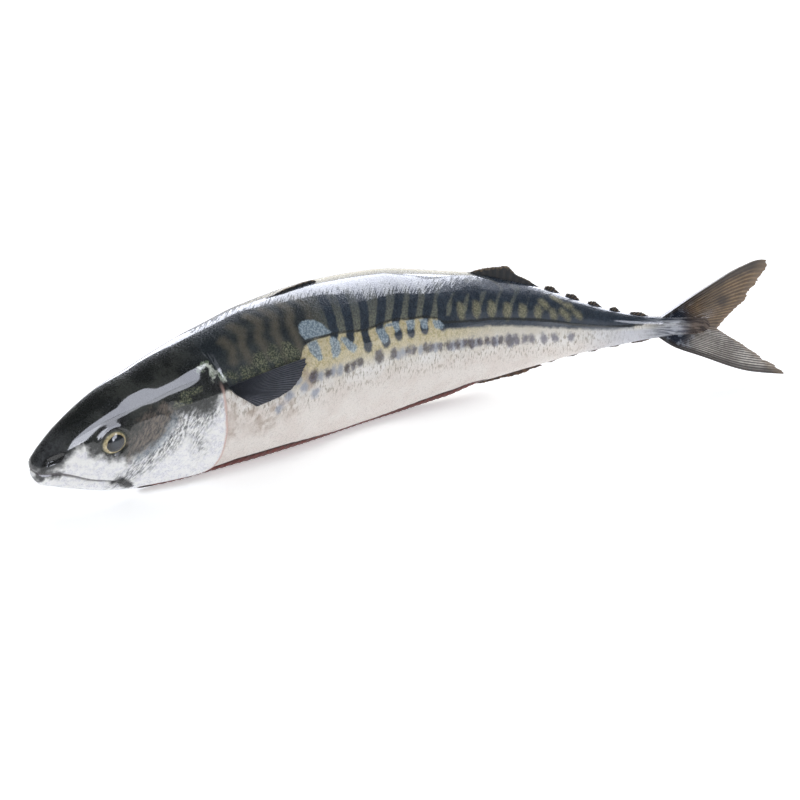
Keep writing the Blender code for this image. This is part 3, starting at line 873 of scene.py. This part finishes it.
def skin_material(settings):
    """Skin of the body and head, painted layer over layer from the fields of its points."""
    material, tree, shader = new_material("fish_skin", 0.34)
    mix, rise, times, plus = tree.mix, tree.rise, tree.times, tree.plus
    angle, distance, round_it = (tree.field(name) for name in ("angle", "along", "girth"))
    scales = tree.group("scale_grain", {"Grain": 1250.0})
    dots = scales["Mask"]
    coarse = tree.mottle(90.0, 0.4, 0.62)
    middling = tree.mottle(420.0, 0.42, 0.6)
    fine = tree.mottle(1500.0, 0.45, 0.62)

    def marking(name, wobble, softness, grain, *shares):
        """Mask of a marking, with its edge broken by noise."""
        depth = {"Depth": tree.field(name), "Wobble": wobble, "Softness": softness, "Grain": grain}
        return times(tree.group("worn_edge", depth)["Mask"], *shares)

    def streaky(x, y, low, high, detail=3.0, roughness=0.6):
        return rise(tree.noise(tree.flat(x, y), 1.0, detail, roughness), low, high)

    # Back: dark bars with olive gaps, brighter towards the lateral line.
    near_line = rise(angle, 30.0, 60.0)
    gap = mix(srgb(74, 82, 88), srgb(110, 115, 110), near_line)
    gap = mix(gap, srgb(94, 94, 84), times(coarse, 0.4))
    gap = mix(gap, srgb(66, 70, 64), times(dots, 0.5))
    gap = mix(gap, srgb(160, 160, 134), times(fine, near_line, 0.35))
    bar = mix(settings.bar_colour, srgb(60, 72, 86), times(middling, 0.4))
    gap = mix(gap, bar, times(rise(distance, 188.0, 214.0), rise(angle, 44.0, 26.0), 0.25))
    dark = mix(settings.back_colour, srgb(62, 68, 69), times(coarse, 0.7))
    dark = mix(dark, srgb(108, 103, 90), marking("brown", 1.4, 1.9, 350.0, 0.68))
    bars = marking("bars", 0.7, 0.7, 500.0)
    upper = mix(mix(gap, bar, bars), dark, rise(distance, 124.0, 108.0))
    upper = mix(upper, bar, rise(distance, 238.0, 250.0, 0.92))
    haze = times(rise(distance, 186.0, 200.0), rise(angle, 54.0, 66.0))
    upper = mix(upper, srgb(112, 118, 128), times(haze, coarse, 0.6))
    olive = mix(srgb(58, 66, 56), srgb(134, 136, 108), fine)
    upper = mix(upper, olive, marking("olive", 2.2, 1.3, 350.0, 0.8))

    # Flank: speckled gold, then cream, then the white belly.
    low = tree.field("belly")
    gold = mix(settings.gold_colour, srgb(158, 148, 106), times(dots, 0.6))
    gold = mix(gold, srgb(228, 218, 190), times(middling, 0.5))
    gold = mix(gold, srgb(212, 208, 200), rise(distance, 176.0, 236.0, 0.8))
    cream = mix(srgb(242, 240, 238), srgb(230, 225, 217), coarse)
    lower = mix(gold, cream, rise(low, -9.0, -1.0))
    white = mix(settings.belly_colour, srgb(230, 220, 214), times(coarse, 0.6))
    lower = mix(lower, white, rise(low, -3.0, 4.0))
    fleck = streaky(distance, times(round_it, 0.42), 0.5, 0.64)
    zone = times(rise(low, -6.0, -3.0), rise(low, 9.0, 1.0))
    lower = mix(lower, srgb(154, 142, 126), times(fleck, zone, 0.72))
    stain = marking("smudge", 4.0, 3.4, 300.0, tree.mottle(260.0, 0.36, 0.62), 0.8)
    lower = mix(lower, srgb(176, 160, 148), stain)
    lower = mix(lower, srgb(148, 156, 176), marking("blue", 1.6, 1.1, 500.0, 0.75))
    spot = mix(srgb(66, 58, 60), srgb(98, 96, 112), middling)
    spot = mix(spot, srgb(150, 148, 158), rise(distance, 196.0, 252.0, 0.8))
    lower = mix(lower, spot, marking("spots", 1.5, 0.9, 500.0, 0.9))

    # Whole body: the bars' feet, the blobs of the rear, the blue patches and the lateral line.
    back = marking("back", 0.9, 0.6, 600.0)
    body = mix(lower, upper, back)
    foot = mix(bar, srgb(96, 102, 112), times(haze, 0.45))
    body = mix(body, foot, times(bars, rise(distance, 112.0, 120.0)))
    blob = mix(srgb(122, 121, 98), srgb(164, 160, 134), fine)
    body = mix(body, blob, marking("blobs", 0.9, 1.2, 400.0, 0.8, back))
    blue = mix(srgb(170, 187, 200), srgb(122, 140, 155), dots)
    body = mix(body, blue, marking("patch", 0.7, 0.5, 500.0, 0.9))
    body = mix(body, srgb(34, 38, 38), marking("line", 0.3, 0.3, 500.0, 0.85))

    # Stalk of the tail: silver and blue streaks, then the brown of the fin.
    streaks = streaky(times(distance, 0.12), times(round_it, 1.1), 0.42, 0.6)
    bluish = times(rise(distance, 255.0, 285.0, 0.7), rise(angle, 70.0, 92.0))
    body = mix(body, srgb(206, 210, 222), bluish)
    stalk = mix(srgb(52, 60, 76), srgb(176, 180, 190), streaks)
    body = mix(body, stalk, rise(distance, 286.0, 303.0, 0.85))
    root = mix(srgb(64, 56, 54), srgb(112, 100, 92), streaks)
    body = mix(body, root, rise(distance, 306.0, 314.0))

    # Head: near-black green above, mottled silver below.
    crown = mix(srgb(24, 28, 27), srgb(55, 58, 55), coarse)
    snout = mix(srgb(68, 70, 73), srgb(48, 50, 52), middling)
    crown = mix(snout, crown, rise(distance, 4.0, 15.0))
    silver = mix(srgb(255, 255, 255), srgb(236, 236, 243), middling)
    silver = mix(silver, srgb(255, 255, 255), times(fine, 0.5))
    turned = tree.math("ABSOLUTE", round_it)
    slant = times(plus(distance, turned), 0.7), times(tree.minus(distance, turned), 0.34)
    smear = streaky(*slant, 0.4, 0.62, 5.0, 0.7)
    # Grey streaked bands over the silver, along the lines of MOTTLE_LINES: behind the jaw's end,
    # along the gill cover's top and along its crease.
    silver = mix(silver, srgb(48, 53, 58), marking("grime", 4.0, 3.4, 260.0, smear, 0.94))
    face = mix(silver, crown, marking("back", 4.0, 2.4, 330.0))
    cheek = mix(srgb(146, 133, 122), srgb(56, 56, 58), smear)
    face = mix(face, cheek, marking("cheek", 7.5, 3.6, 240.0, 0.72))
    band = mix(srgb(140, 156, 172), srgb(178, 190, 200), fine)
    face = mix(face, band, marking("band", 2.4, 1.6, 600.0, 0.45))
    face = mix(face, olive, marking("olive", 1.4, 0.8, 600.0, 0.8))
    face = mix(face, dark, times(rise(distance, 52.0, 74.0), rise(angle, 46.0, 34.0)))
    body = mix(body, face, marking("head", 0.1, 0.25, 700.0))
    pale = mix(srgb(222, 228, 218), srgb(120, 134, 112), middling)
    body = mix(body, pale, marking("pale", 2.6, 0.8, 700.0, 0.85))
    body = mix(body, srgb(24, 25, 26), marking("dark", 1.4, 0.9, 500.0, 0.92))
    body = mix(body, srgb(120, 116, 118), marking("mouth", 0.2, 0.35, 700.0, 0.8))
    pink = marking("gill", 0.5, 0.5, 500.0, 0.8, rise(angle, 58.0, 74.0))
    body = mix(body, srgb(212, 178, 168), pink)
    # Painted shade: a near-black band along the upper lip of the belly cut, where the cut sinks
    # under the lip; further in, the flesh colour.
    cut = tree.field("cut")
    body = mix(body, srgb(24, 9, 9), rise(cut, -0.7, -0.2))
    tree.put(shader["Base Color"], mix(body, settings.flesh_colour, rise(cut, 0.8, 1.8)))

    # The flank and the head are wet all over, so only the back's strip has an edge.
    wet_flank = rise(angle, 42.0, 54.0, 60.0)
    wet_head = rise(distance, 70.0, 62.0, 60.0)
    shine = plus(tree.field("shine"), plus(wet_flank, wet_head))
    film = tree.group("wet_film", {
        "Along": distance, "Girth": round_it, "Shine": shine, "Wetness": settings.wetness,
    })
    tree.put(shader["Coat Weight"], times(film["Coat"], rise(distance, 312.0, 298.0)))
    tree.put(shader["Roughness"], plus(times(fine, 0.16), 0.26))
    tree.put(shader["Metallic"], times(tree.minus(1.0, back), middling, 0.1))
    height = plus(film["Height"], times(scales["Height"], 0.25))
    tree.put(shader["Normal"], tree.bump(height, 0.00045))
    return material


def flesh_material(settings):
    material, tree, shader = new_material("cut_flesh", 0.5)
    shader["Coat Weight"].default_value = 0.25
    fibres = tree.mottle(600.0, 0.35, 0.65)
    colour = tree.mix(settings.flesh_colour, srgb(118, 52, 44), fibres)
    # Painted shade: the flesh darkens to near-black towards the strip's upper edge, under the lip
    # of the cut.
    dark = tree.rise(tree.field("way"), 0.3, 0.08)
    tree.put(shader["Base Color"], tree.mix(colour, srgb(20, 7, 7), dark))
    tree.put(shader["Roughness"], tree.plus(tree.times(fibres, 0.2), 0.4))
    tree.put(shader["Normal"], tree.bump(fibres, 0.0002))
    return material


def eye_material(settings):
    material, tree, shader = new_material("eye", 0.2, 0.02)
    radius = tree.field("from_pupil")
    wobble = tree.times(tree.minus(tree.noise(tree.place, 900.0), 0.5), 0.5)
    gap = tree.plus(tree.minus(radius, settings.pupil_radius), wobble)
    ring = tree.mix(settings.iris_colour, srgb(176, 160, 120), tree.mottle(900.0, 0.4, 0.6))
    edge = tree.rise(tree.minus(gap, tree.field("ring_width")), -0.1, 0.35)
    white = tree.mix(ring, srgb(104, 106, 96), edge)
    pupil = tree.mix(srgb(62, 68, 76), srgb(30, 33, 37), tree.rise(radius, 0.4, 3.2))
    tree.put(shader["Base Color"], tree.mix(pupil, white, tree.rise(gap, -0.12, 0.12)))
    tree.put(shader["Roughness"], tree.plus(tree.times(edge, 0.2), 0.15))
    return material


def fin_material(name, skin, ray, margin, margin_share, roughness=0.4):
    """Rayed membrane: colours between rays, on rays and at the margin."""
    material, tree, shader = new_material(name, roughness, 0.12, 1.45)
    shader["Coat Weight"].default_value = 0.45
    rays = tree.group("fin_rays", {"Rays": tree.field("rays"), "Way": tree.field("way")})
    patches = tree.mottle(160.0, 0.35, 0.65)
    colour = tree.mix(skin, ray, rays["Ray"])
    colour = tree.mix(colour, skin, tree.times(patches, 0.5))
    colour = tree.mix(colour, margin, tree.times(rays["Margin"], margin_share))
    tree.put(shader["Base Color"], colour)
    tree.put(shader["Roughness"], tree.plus(tree.times(patches, 0.16), roughness - 0.08))
    tree.put(shader["Normal"], tree.bump(rays["Height"], 0.00015))
    return material


def floor_material(settings):
    """White table, whose glow grows away from the fish, where the lights don't reach."""
    material, tree, shader = new_material("table", 0.6)
    shader["Coat Weight"].default_value = 0.0
    shader["Specular IOR Level"].default_value = 0.1
    tone = tree.mix(srgb(250, 250, 250), srgb(246, 247, 248), tree.noise(tree.place, 3.0))
    tree.put(shader["Base Color"], tone)
    reach = tree.add("ShaderNodeVectorMath", {0: tree.place}, operation="LENGTH").outputs["Value"]
    near = [settings.floor_glow * share for share in TABLE_TINT]
    tree.put(shader["Emission Color"], tree.mix(near, WHITE, tree.rise(reach, *TABLE_REACH)))
    shader["Emission Strength"].default_value = 1.0
    return material


def build_skin(settings):
    rings = runs(SKIN_RINGS)
    angles = np.linspace(0.0, 360.0, SKIN_ROUND + 1)[:-1]
    angles = np.where(angles > 180.0, angles - 360.0, angles)
    points, d = skin_point(rings[:, None], angles[None, :])
    fields = flank_fields(d, angles[None, :] * np.ones_like(d))
    count = len(angles)
    faces = ring_faces(len(rings), count)
    last = (len(rings) - 1) * count
    centres = [points[0].mean(0), points[-1].mean(0)]
    total = len(rings) * count
    for j in range(count):
        k = (j + 1) % count
        faces.append((total, j, k))
        faces.append((total + 1, last + k, last + j))
    values = {
        key: np.concatenate([np.ravel(v), [np.mean(v[0]), np.mean(v[-1])]])
        for key, v in fields.items()
    }
    every = np.concatenate([points.reshape(-1, 3), centres])
    skin = new_object("skin", every, faces, values, skin_material(settings), 40.0)
    return belongs(outward(skin))


def build_belly_cut(settings):
    """Strip of dark red flesh in the cut, with a wavy lower lip."""
    d = np.arange(CUT_SPAN[0] + 5.0, CUT_SPAN[3] - 1.0, 1.0)
    t = np.linspace(0.0, 1.0, 11)
    dd, tt = np.meshgrid(d, t, indexing="ij")
    reach = window(dd, CUT_SPAN)
    wave = 0.9 * np.sin(dd / 5.3) + 0.6 * np.sin(dd / 2.1)
    upper = -along(CUT_LINE, dd)
    lower = CUT_LOW_ANGLE + wave
    angle = upper + (lower - upper) * tt
    bulge = -1.5 + 1.3 * np.sin(np.pi * tt) * reach + 0.12 * np.sin(dd * 1.7 + 6 * tt)

    def put(a, b, offset):
        point = oval_point(a, np.radians(b), bulge + offset)
        point[..., 2] = np.maximum(point[..., 2], 0.02)
        return point

    grid = np.stack([dd, angle], -1)
    values = {"way": tt}
    strip = plate("belly_cut", grid, np.full_like(dd, 0.5), put, values, flesh_material(settings))
    return belongs(strip)


def build_eye(name, side, material):
    """Domed eye set into its socket, with the ring of the iris wider at the front."""
    rings = np.linspace(0.0, EYE_RADIUS + 0.35, 22)[1:]
    turn = np.linspace(0.0, 2 * np.pi, 65)[:-1]
    r, a = np.meshgrid(rings, turn, indexing="ij")
    d = EYE_DISTANCE + r * np.cos(a)
    angle = EYE_ANGLE + r * np.sin(a) * EYE_HALF_ANGLE / EYE_RADIUS
    lift = EYE_TOP - 1.9 * (r / EYE_RADIUS) ** 2
    points = oval_point(d, np.radians(side * angle), lift)
    top = oval_point(EYE_DISTANCE, np.radians(side * EYE_ANGLE), EYE_TOP)
    count = len(turn)
    faces = ring_faces(len(rings), count)
    total = len(rings) * count
    faces += [(total, (j + 1) % count, j) for j in range(count)]
    # The ring is widest towards the snout, and the pupil leans a little towards the belly.
    pupil = np.hypot(r * np.cos(a) - 0.25, r * np.sin(a) - 0.25)
    width = 0.72 - 0.38 * np.cos(a - 0.6)
    values = {
        "from_pupil": np.concatenate([pupil.ravel(), [0.35]]),
        "ring_width": np.concatenate([width.ravel(), [0.9]]),
    }
    every = np.concatenate([points.reshape(-1, 3), top.reshape(1, 3)])
    eye = new_object(name, every, faces, values, material)
    if side > 0:
        eye.data.flip_normals()
    return belongs(eye)


def build_back_fins(settings):
    dark = fin_material(
        "dorsal_fin", srgb(32, 34, 38), srgb(48, 46, 46), srgb(158, 134, 104), settings.fin_margin
    )
    middle_fin("first_dorsal", FIRST_DORSAL, (1.5, 0.5), 70, 7, 9, 0.15, 3, dark)
    middle_fin("second_dorsal", SECOND_DORSAL, (1.5, 0.45), 90, 9, 12, 0.16, 5, dark)
    tan = fin_material("finlets", srgb(46, 42, 42), srgb(104, 88, 72), srgb(184, 158, 126), 0.9)
    finlets("dorsal", DORSAL_FINLETS, (18, 6), 11, tan)


def build_lower_fins():
    # The fin and finlets under the tail stalk are dark brown: partly their own colour, partly
    # painted shade beneath the body.
    pale = fin_material("anal_fin", srgb(62, 46, 40), srgb(98, 74, 58), srgb(170, 132, 94), 0.5)
    middle_fin("anal_fin", ANAL_FIN, (1.5, 0.45), 60, 7, 11, 0.2, 21, pale)
    finlets("anal", ANAL_FINLETS, (16, 5), 31, pale)


def build_pectoral(name, side, material):
    """Fin folded back against the flank, its rays fanning to a torn margin."""
    columns, rows = 106, 16
    t = np.linspace(0.0, 1.0, columns)
    reach = ragged(columns, 0.06, 41)
    way = np.linspace(0.0, 1.0, rows)[:, None] * reach[None, :]
    base, margin = path(PECTORAL_BASE, t), path(PECTORAL_MARGIN, t)
    grid = base[None] * (1 - way[..., None]) + margin[None] * way[..., None]
    ridge = 0.5 + 0.5 * np.cos(2 * np.pi * 21 * t)[None, :]
    thick = (1.8 - 1.1 * way) * (0.75 + 0.25 * ridge)
    lift = 0.25 + 0.65 * way + 0.25 * np.sin(np.pi * t)[None, :] * way
    values = {"way": way, "rays": ridge * np.ones_like(way)}

    def put(d, angle, offset):
        return oval_point(d, np.radians(side * angle), lift + offset)

    return belongs(plate(name, grid, thick, put, values, material))


def build_tail():
    """Forked tail fin: two lobes of fine rays with a torn rear margin."""
    columns, rows = 60, 26
    top, middle, low = TAIL_ROOT
    t = np.linspace(0.0, 1.0, columns)
    upper = lobe(TAIL_UPPER_EDGE, TAIL_UPPER_REAR, (top, middle), columns, rows)
    lower = lobe(TAIL_LOWER_EDGE, TAIL_LOWER_REAR, (low, middle), columns, rows)
    grid = np.concatenate([upper, lower[:, -2::-1]], axis=1)
    across = np.concatenate([t, 2 - t[-2::-1]])[None, :]
    way = np.linspace(0.0, 1.0, rows)[:, None]
    reach = ragged(grid.shape[1], 0.07, 51)[None, :]
    torn = way * reach
    at = torn * (rows - 1)
    low_row = np.clip(np.floor(at).astype(int), 0, rows - 2)
    share = (at - low_row)[..., None]
    column = np.arange(grid.shape[1])[None, :]
    grid = grid[low_row, column] * (1 - share) + grid[low_row + 1, column] * share
    ridge = 0.5 + 0.5 * np.cos(2 * np.pi * 17 * across)
    thick = (2.6 - 2.1 * torn**0.6) * (0.6 + 0.4 * ridge)
    spot = np.hypot(grid[..., 0] - TAIL_SPOT[0], (grid[..., 1] - TAIL_SPOT[1]) * 1.3)
    values = {
        "way": torn, "across": across * np.ones_like(torn), "rays": ridge * np.ones_like(torn),
        "spot": spot,
    }
    return belongs(plate("tail_fin", grid, thick, middle_plane, values, tail_material()))


def tail_material():
    material, tree, shader = new_material("tail_fin", 0.42, 0.15, 1.45)
    mix, rise, times = tree.mix, tree.rise, tree.times
    across, way = tree.field("across"), tree.field("way")
    rays = tree.group("fin_rays", {"Rays": tree.field("rays"), "Way": way})
    patches = tree.mottle(120.0, 0.38, 0.62)
    upper = mix(srgb(96, 76, 55), srgb(146, 120, 88), rays["Ray"])
    lower = mix(srgb(110, 106, 104), srgb(222, 216, 208), rays["Ray"])
    colour = mix(upper, lower, rise(across, 0.9, 1.15))
    colour = mix(colour, srgb(66, 58, 52), times(patches, 0.5))
    root = mix(srgb(38, 46, 62), srgb(150, 158, 172), tree.mottle(350.0, 0.5, 0.62))
    colour = mix(colour, root, rise(way, 0.34, 0.12))
    colour = mix(colour, srgb(46, 38, 34), rise(tree.field("spot"), 5.5, 1.0, 0.75))
    outer = rise(tree.math("ABSOLUTE", tree.minus(across, 1.0)), 0.8, 0.95, 0.8)
    colour = mix(colour, srgb(58, 52, 50), outer)
    colour = mix(colour, srgb(150, 128, 104), rise(way, 0.84, 0.99, 0.6))
    tree.put(shader["Base Color"], colour)
    tree.put(shader["Roughness"], tree.plus(times(patches, 0.14), 0.36))
    tree.put(shader["Normal"], tree.bump(rays["Height"], 0.0002))
    return material


def direction(azimuth, elevation):
    a, e = np.radians(azimuth), np.radians(elevation)
    return Vector((np.cos(a) * np.cos(e), np.sin(a) * np.cos(e), np.sin(e)))


def glow_material(name, tint, radiance):
    material = bpy.data.materials.new(name)
    material.use_nodes = True
    tree = Tree(material.node_tree)
    glow = tree.add("ShaderNodeEmission", {"Color": tint, "Strength": radiance})
    tree.put(material.node_tree.nodes["Material Output"].inputs["Surface"], glow.outputs[0])
    return material


def staged(name, points, faces, material):
    """Object of the stage, in metres."""
    mesh = bpy.data.meshes.new(name)
    mesh.from_pydata(points, [], faces)
    mesh.materials.append(material)
    made = bpy.data.objects.new(name, mesh)
    bpy.context.scene.collection.objects.link(made)
    return made


def card(name, rows, radiance, tint):
    """White card far off that only glossy reflections show."""
    ways = [way for row in rows for way in (row[:2], row[2:])]
    points = [LIGHT_AIM + direction(*way) * LIGHT_DISTANCE for way in ways]
    faces = [(2 * i, 2 * i + 1, 2 * i + 3, 2 * i + 2) for i in range(len(rows) - 1)]
    made = staged(name, points, faces, glow_material(name, tint, radiance))
    made.visible_camera = False
    made.visible_diffuse = False
    made.visible_shadow = False


def softbox(name, azimuth, elevation, spread, radiance):
    """Soft panel far off, as wide as its spread in degrees, that the skin doesn't mirror."""
    away = direction(azimuth, elevation)
    wide, tall = (2 * LIGHT_DISTANCE * np.tan(np.radians(angle / 2)) for angle in spread)
    lamp = bpy.data.lights.new(name, "AREA")
    lamp.shape = "RECTANGLE"
    lamp.size = wide
    lamp.size_y = tall
    lamp.energy = radiance * np.pi * wide * tall
    box = bpy.data.objects.new(name, lamp)
    box.location = LIGHT_AIM + away * LIGHT_DISTANCE
    box.rotation_euler = (-away).to_track_quat("-Z", "Y").to_euler()
    box.visible_glossy = False
    bpy.context.scene.collection.objects.link(box)


def build_stage(settings):
    scene = bpy.context.scene
    half = settings.floor_size / 2
    corners = [(-half, -half, 0), (half, -half, 0), (half, half, 0), (-half, half, 0)]
    staged("table", corners, [(0, 1, 2, 3)], floor_material(settings))

    # White walls that only the camera sees, so that they light nothing.
    tops = [(x, y, half) for x, y, _ in corners]
    walls = [(i, (i + 1) % 4, (i + 1) % 4 + 4, i + 4) for i in range(4)]
    room = staged("room", corners + tops, walls, glow_material("room", WHITE, 1.0))
    room.visible_diffuse = False
    room.visible_glossy = False
    room.visible_shadow = False

    world = bpy.data.worlds.new("studio")
    world.use_nodes = True
    world.node_tree.nodes["Background"].inputs["Color"].default_value = (0.95, 0.97, 1.0, 1.0)
    world.node_tree.nodes["Background"].inputs["Strength"].default_value = settings.world_light
    scene.world = world
    scene.view_settings.view_transform = "Standard"
    scene.view_settings.look = "None"
    for name, light, share, tint, rows in CARDS:
        card(name, rows, share * getattr(settings, light), tint)
    for name, azimuth, elevation, spread, share in SOFT_PANELS:
        softbox(name, azimuth, elevation, spread, share * settings.soft_light)

    camera = bpy.data.cameras.new("camera")
    camera.sensor_width = 36.0
    camera.lens = settings.lens
    viewer = bpy.data.objects.new("camera", camera)
    scene.collection.objects.link(viewer)
    forward = (CAMERA_TARGET - CAMERA_PLACE).normalized()
    right = forward.cross(Vector((0, 0, 1))).normalized()
    up = right.cross(forward)
    roll = np.radians(CAMERA_ROLL)
    rolled_right = right * np.cos(roll) + up * np.sin(roll)
    rolled_up = up * np.cos(roll) - right * np.sin(roll)
    turn = Matrix((rolled_right, rolled_up, -forward)).transposed()
    viewer.matrix_world = Matrix.Translation(CAMERA_PLACE) @ turn.to_4x4()
    scene.camera = viewer


def colour_property(name, description, default):
    return FloatVectorProperty(
        name=name, description=description, default=default, subtype="COLOR", size=3, min=0.0,
        max=1.0,
    )


class MackerelSettings(bpy.types.PropertyGroup):
    """Sizes, colours and lights of the fish and its stage."""

    back_colour: colour_property("Back", "Darkest colour of the front back", srgb(37, 44, 49))
    bar_colour: colour_property("Bars", "Dark bars across the back", srgb(37, 48, 61))
    gold_colour: colour_property("Gold", "Speckled band under the bars", srgb(210, 197, 158))
    belly_colour: colour_property("Belly", "Belly and lower flank", srgb(240, 234, 229))
    flesh_colour: colour_property("Flesh", "Flesh in the belly cut", srgb(84, 28, 24))
    iris_colour: colour_property("Iris", "Ring of the eye", srgb(222, 210, 172))
    pupil_radius: FloatProperty(
        name="Pupil radius", description="Radius of the pupil in millimetres", default=3.35,
        min=1.0, max=4.5,
    )
    wetness: FloatProperty(
        name="Wetness", description="Weight of the wet film on the skin", default=1.0, min=0.0,
        max=1.0, subtype="FACTOR",
    )
    fin_margin: FloatProperty(
        name="Fin margins", description="How pale the margins of the back fins are", default=0.7,
        min=0.0, max=1.0, subtype="FACTOR",
    )
    floor_size: FloatProperty(
        name="Table size", description="Side of the white table", default=16.0, min=1.0,
        unit="LENGTH",
    )
    floor_glow: FloatProperty(
        name="Table glow", description="Light given out by the table near the fish",
        default=0.46, min=0.0,
    )
    world_light: FloatProperty(
        name="Room light", description="Strength of the light all round", default=0.09, min=0.0
    )
    head_light: FloatProperty(
        name="Head light", description="Radiance of the cards mirrored on the head", default=6.0,
        min=0.0,
    )
    back_light: FloatProperty(
        name="Back light", description="Radiance of the cards mirrored on the back", default=6.0,
        min=0.0,
    )
    soft_light: FloatProperty(
        name="Soft light", description="Radiance of the panels that light the scene", default=1.1,
        min=0.0,
    )
    lens: FloatProperty(
        name="Lens", description="Focal length of the camera", default=68.0, min=10.0,
        unit="CAMERA",
    )


class MACKEREL_OT_skin(bpy.types.Operator):
    """Build the skin of the body and head with its markings"""

    bl_idname = "mackerel.skin"
    bl_label = "Skin"

    def execute(self, context):
        build_skin(context.scene.mackerel)
        return {"FINISHED"}


class MACKEREL_OT_belly_cut(bpy.types.Operator):
    """Build the strip of flesh in the belly cut"""

    bl_idname = "mackerel.belly_cut"
    bl_label = "Belly cut"

    def execute(self, context):
        build_belly_cut(context.scene.mackerel)
        return {"FINISHED"}


class MACKEREL_OT_eyes(bpy.types.Operator):
    """Build both eyes"""

    bl_idname = "mackerel.eyes"
    bl_label = "Eyes"

    def execute(self, context):
        settings = context.scene.mackerel
        material = eye_material(settings)
        build_eye("eye_left", -1, material)
        build_eye("eye_right", 1, material)
        return {"FINISHED"}


class MACKEREL_OT_back_fins(bpy.types.Operator):
    """Build the two fins and the finlets of the back"""

    bl_idname = "mackerel.back_fins"
    bl_label = "Back fins"

    def execute(self, context):
        build_back_fins(context.scene.mackerel)
        return {"FINISHED"}


class MACKEREL_OT_lower_fins(bpy.types.Operator):
    """Build the fin and the finlets under the tail stalk"""

    bl_idname = "mackerel.lower_fins"
    bl_label = "Lower fins"

    def execute(self, context):
        build_lower_fins()
        return {"FINISHED"}


class MACKEREL_OT_pectorals(bpy.types.Operator):
    """Build the two fins folded against the flanks"""

    bl_idname = "mackerel.pectorals"
    bl_label = "Pectoral fins"

    def execute(self, context):
        material = fin_material(
            "pectoral_fin", srgb(48, 52, 61), srgb(88, 91, 101), srgb(74, 74, 82), 0.5, 0.36
        )
        build_pectoral("pectoral_left", -1, material)
        build_pectoral("pectoral_right", 1, material)
        return {"FINISHED"}


class MACKEREL_OT_tail(bpy.types.Operator):
    """Build the forked tail fin"""

    bl_idname = "mackerel.tail"
    bl_label = "Tail fin"

    def execute(self, context):
        build_tail()
        return {"FINISHED"}


class MACKEREL_OT_stage(bpy.types.Operator):
    """Set the white table, the lights and the camera"""

    bl_idname = "mackerel.stage"
    bl_label = "Stage"

    def execute(self, context):
        build_stage(context.scene.mackerel)
        return {"FINISHED"}


OPERATORS = (
    MACKEREL_OT_skin,
    MACKEREL_OT_belly_cut,
    MACKEREL_OT_eyes,
    MACKEREL_OT_back_fins,
    MACKEREL_OT_lower_fins,
    MACKEREL_OT_pectorals,
    MACKEREL_OT_tail,
    MACKEREL_OT_stage,
)


class MACKEREL_PT_panel(bpy.types.Panel):
    """Settings of the mackerel and the buttons that build it"""

    bl_idname = "MACKEREL_PT_panel"
    bl_label = "Whole mackerel"
    bl_space_type = "VIEW_3D"
    bl_region_type = "UI"
    bl_category = "Mackerel"

    def draw(self, context):
        settings = context.scene.mackerel
        column = self.layout.column()
        for name in MackerelSettings.__annotations__:
            column.prop(settings, name)
        for operator in OPERATORS:
            column.operator(operator.bl_idname)


CLASSES = (MackerelSettings, *OPERATORS, MACKEREL_PT_panel)


def register():
    for item in CLASSES:
        bpy.utils.register_class(item)
    bpy.types.Scene.mackerel = PointerProperty(type=MackerelSettings)


def unregister():
    del bpy.types.Scene.mackerel
    for item in reversed(CLASSES):
        bpy.utils.unregister_class(item)


def main():
    register()
    make_groups()
    for operator in OPERATORS:
        group, name = operator.bl_idname.split(".")
        getattr(getattr(bpy.ops, group), name)()


if __name__ == "__main__":
    main()
